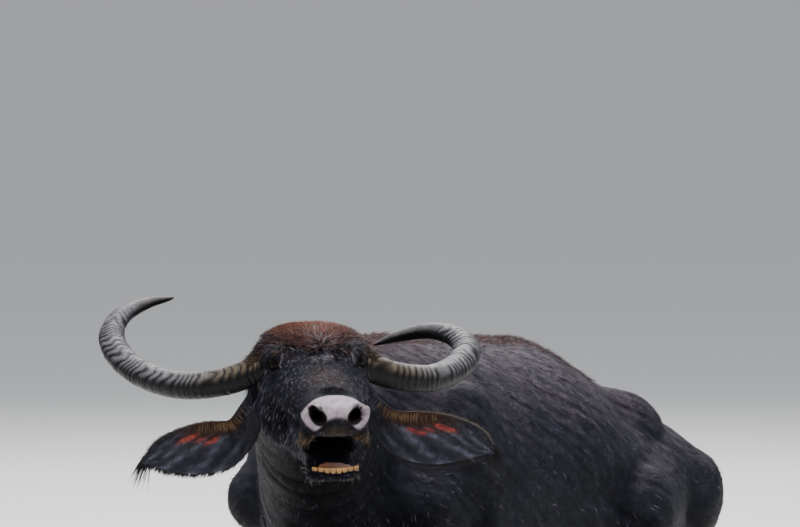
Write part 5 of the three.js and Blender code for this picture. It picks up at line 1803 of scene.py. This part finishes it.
# The tail's switch: locks that lie along the floor and fan out
SWITCH_LOCKS = 520
SWITCH_BLACK = np.array([0.018, 0.015, 0.013])
SWITCH_BROWN = np.array([0.07, 0.042, 0.026])


def build_switch():
    rng = np.random.default_rng(SWITCH_SEED)
    count = SWITCH_LOCKS
    curve = Curve([(70, 1042, 40), (96, 1044, 33), (128, 1043, 29), (160, 1037, 25),
                   (192, 1027, 21)])
    share = rng.random(count)
    at = curve.at(0.05 + 0.9 * share)
    along = curve.heading(np.full(count, 0.6))
    across = unit(np.stack([along[:, 1], -along[:, 0], along[:, 0] * 0], 1))
    spread = rng.random(count) * 2 - 1
    turn = rng.random(count) * TAU
    swell = 17 * np.sqrt(np.clip(1 - (2 * share - 0.9) ** 2, 0.1, 1))
    root = at + across * (np.cos(turn) * swell)[:, None]
    root[:, 2] += np.sin(turn) * swell * 0.8
    long = 200 * (0.55 + 0.55 * rng.random(count)) * (1.05 - 0.45 * share)
    side = (spread * 0.24 * 0.9)[:, None]
    bend = root + along * (long * 0.5)[:, None] + across * side * (long * 0.4)[:, None]
    tip = bend + along * (long * 0.45)[:, None]
    tip += across * ((side[:, 0] * 1.3 - 0.12) * long * 0.8)[:, None]
    tip[:, 2] = 3 + 14 * rng.random(count)
    bend[:, 2] = np.maximum(bend[:, 2], 5)
    up = np.repeat([[0, 0, 1.0]], count, 0) + rng.normal(0, 0.5, (count, 3))
    wide = 4 + 4 * rng.random(count)
    rings = lock_rings(root, bend, tip, up, wide, wide * 0.45, 7, 0.1, 4)
    rings[..., 2] = np.maximum(rings[..., 2], SWITCH_GAP)
    shade = rng.random((count, 1))
    root_colour = SWITCH_BLACK + (SWITCH_BROWN - SWITCH_BLACK) * shade * 0.5
    uv = np.stack([0.2 + 0.6 * share, 0.5 + 0.4 * spread], 1)
    locks = Locks()
    locks.add(rings, (root_colour, root_colour * 1.6), uv)
    obj = locks.piece("tail_switch", HAIR)
    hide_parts("tail_tuft")


build_switch()

# Floor, light and camera
FLOOR_SIZE = 900.0
FLOOR_COLOUR = (0.74, 0.74, 0.73, 1)
SKY_COLOUR = (0.86, 0.89, 0.94, 1)
SKY_STRENGTH = 0.60
LIGHT_SIZE = 4.0
floor_mesh = bpy.data.meshes.new("floor")
corner = FLOOR_SIZE / 2
floor_mesh.from_pydata([(-corner, -corner, 0), (corner, -corner, 0), (corner, corner, 0),
                        (-corner, corner, 0)], [], [(0, 1, 2, 3)])
floor_object = bpy.data.objects.new("floor", floor_mesh)
bpy.context.scene.collection.objects.link(floor_object)
floor_material, _, floor_shader = new_material("floor", 0.85)
floor_shader.inputs["Base Color"].default_value = FLOOR_COLOUR
floor_mesh.materials.append(floor_material)


def area_light(name, at, aim, power):
    light = bpy.data.lights.new(name, "AREA")
    light.shape = "DISK"
    light.size = LIGHT_SIZE
    light.energy = power
    obj = bpy.data.objects.new(name, light)
    obj.location = at
    obj.rotation_euler = (Vector(aim) - Vector(at)).to_track_quat("-Z", "Y").to_euler()
    bpy.context.scene.collection.objects.link(obj)


area_light("sky", (0.6, -1.6, 6.5), (0.1, -0.6, 0.4), 950)
area_light("front", (7.5, -9.5, 6.0), (0.4, -1.2, 0.6), 190)
area_light("rim", (-3.0, 5.0, 5.5), (0, -0.4, 0.6), 420)
world = bpy.data.worlds.new("studio")
world.use_nodes = True
sky = world.node_tree.nodes["Background"]
sky.inputs["Color"].default_value = SKY_COLOUR
sky.inputs["Strength"].default_value = SKY_STRENGTH
bpy.context.scene.world = world

# The camera stands where the photograph was taken from, and looks past the animal's head
# by the pixels aside and above
CAMERA_AT = (10.891, -18.843, 1.753)
PHOTO_WIDTH = 800
FOCAL_PIXELS = 8510.6
SENSOR = 36.0
FAR_PLANE = 1500
VIEW_TURN = np.radians(31)
VIEW_DOWN = np.radians(3.7)
PIXELS_ASIDE = 82
PIXELS_ABOVE = 212.5
VIEW_YAW = np.arctan2(PIXELS_ASIDE, FOCAL_PIXELS)
VIEW_PITCH = VIEW_DOWN - np.arctan2(PIXELS_ABOVE, FOCAL_PIXELS)
camera_data = bpy.data.cameras.new("camera")
camera_data.sensor_width = SENSOR
camera_data.lens = FOCAL_PIXELS / PHOTO_WIDTH * SENSOR
camera = bpy.data.objects.new("camera", camera_data)
ahead = np.array([-np.sin(VIEW_TURN), np.cos(VIEW_TURN), 0])
right = np.array([np.cos(VIEW_TURN), np.sin(VIEW_TURN), 0])
level_view = np.cos(VIEW_YAW) * ahead + np.sin(VIEW_YAW) * right
view_line = np.cos(VIEW_PITCH) * level_view + np.array([0, 0, -np.sin(VIEW_PITCH)])
camera.location = CAMERA_AT
camera.rotation_euler = Vector(view_line).to_track_quat("-Z", "Y").to_euler()
bpy.context.scene.collection.objects.link(camera)
bpy.context.scene.camera = camera
camera_data.clip_end = FAR_PLANE
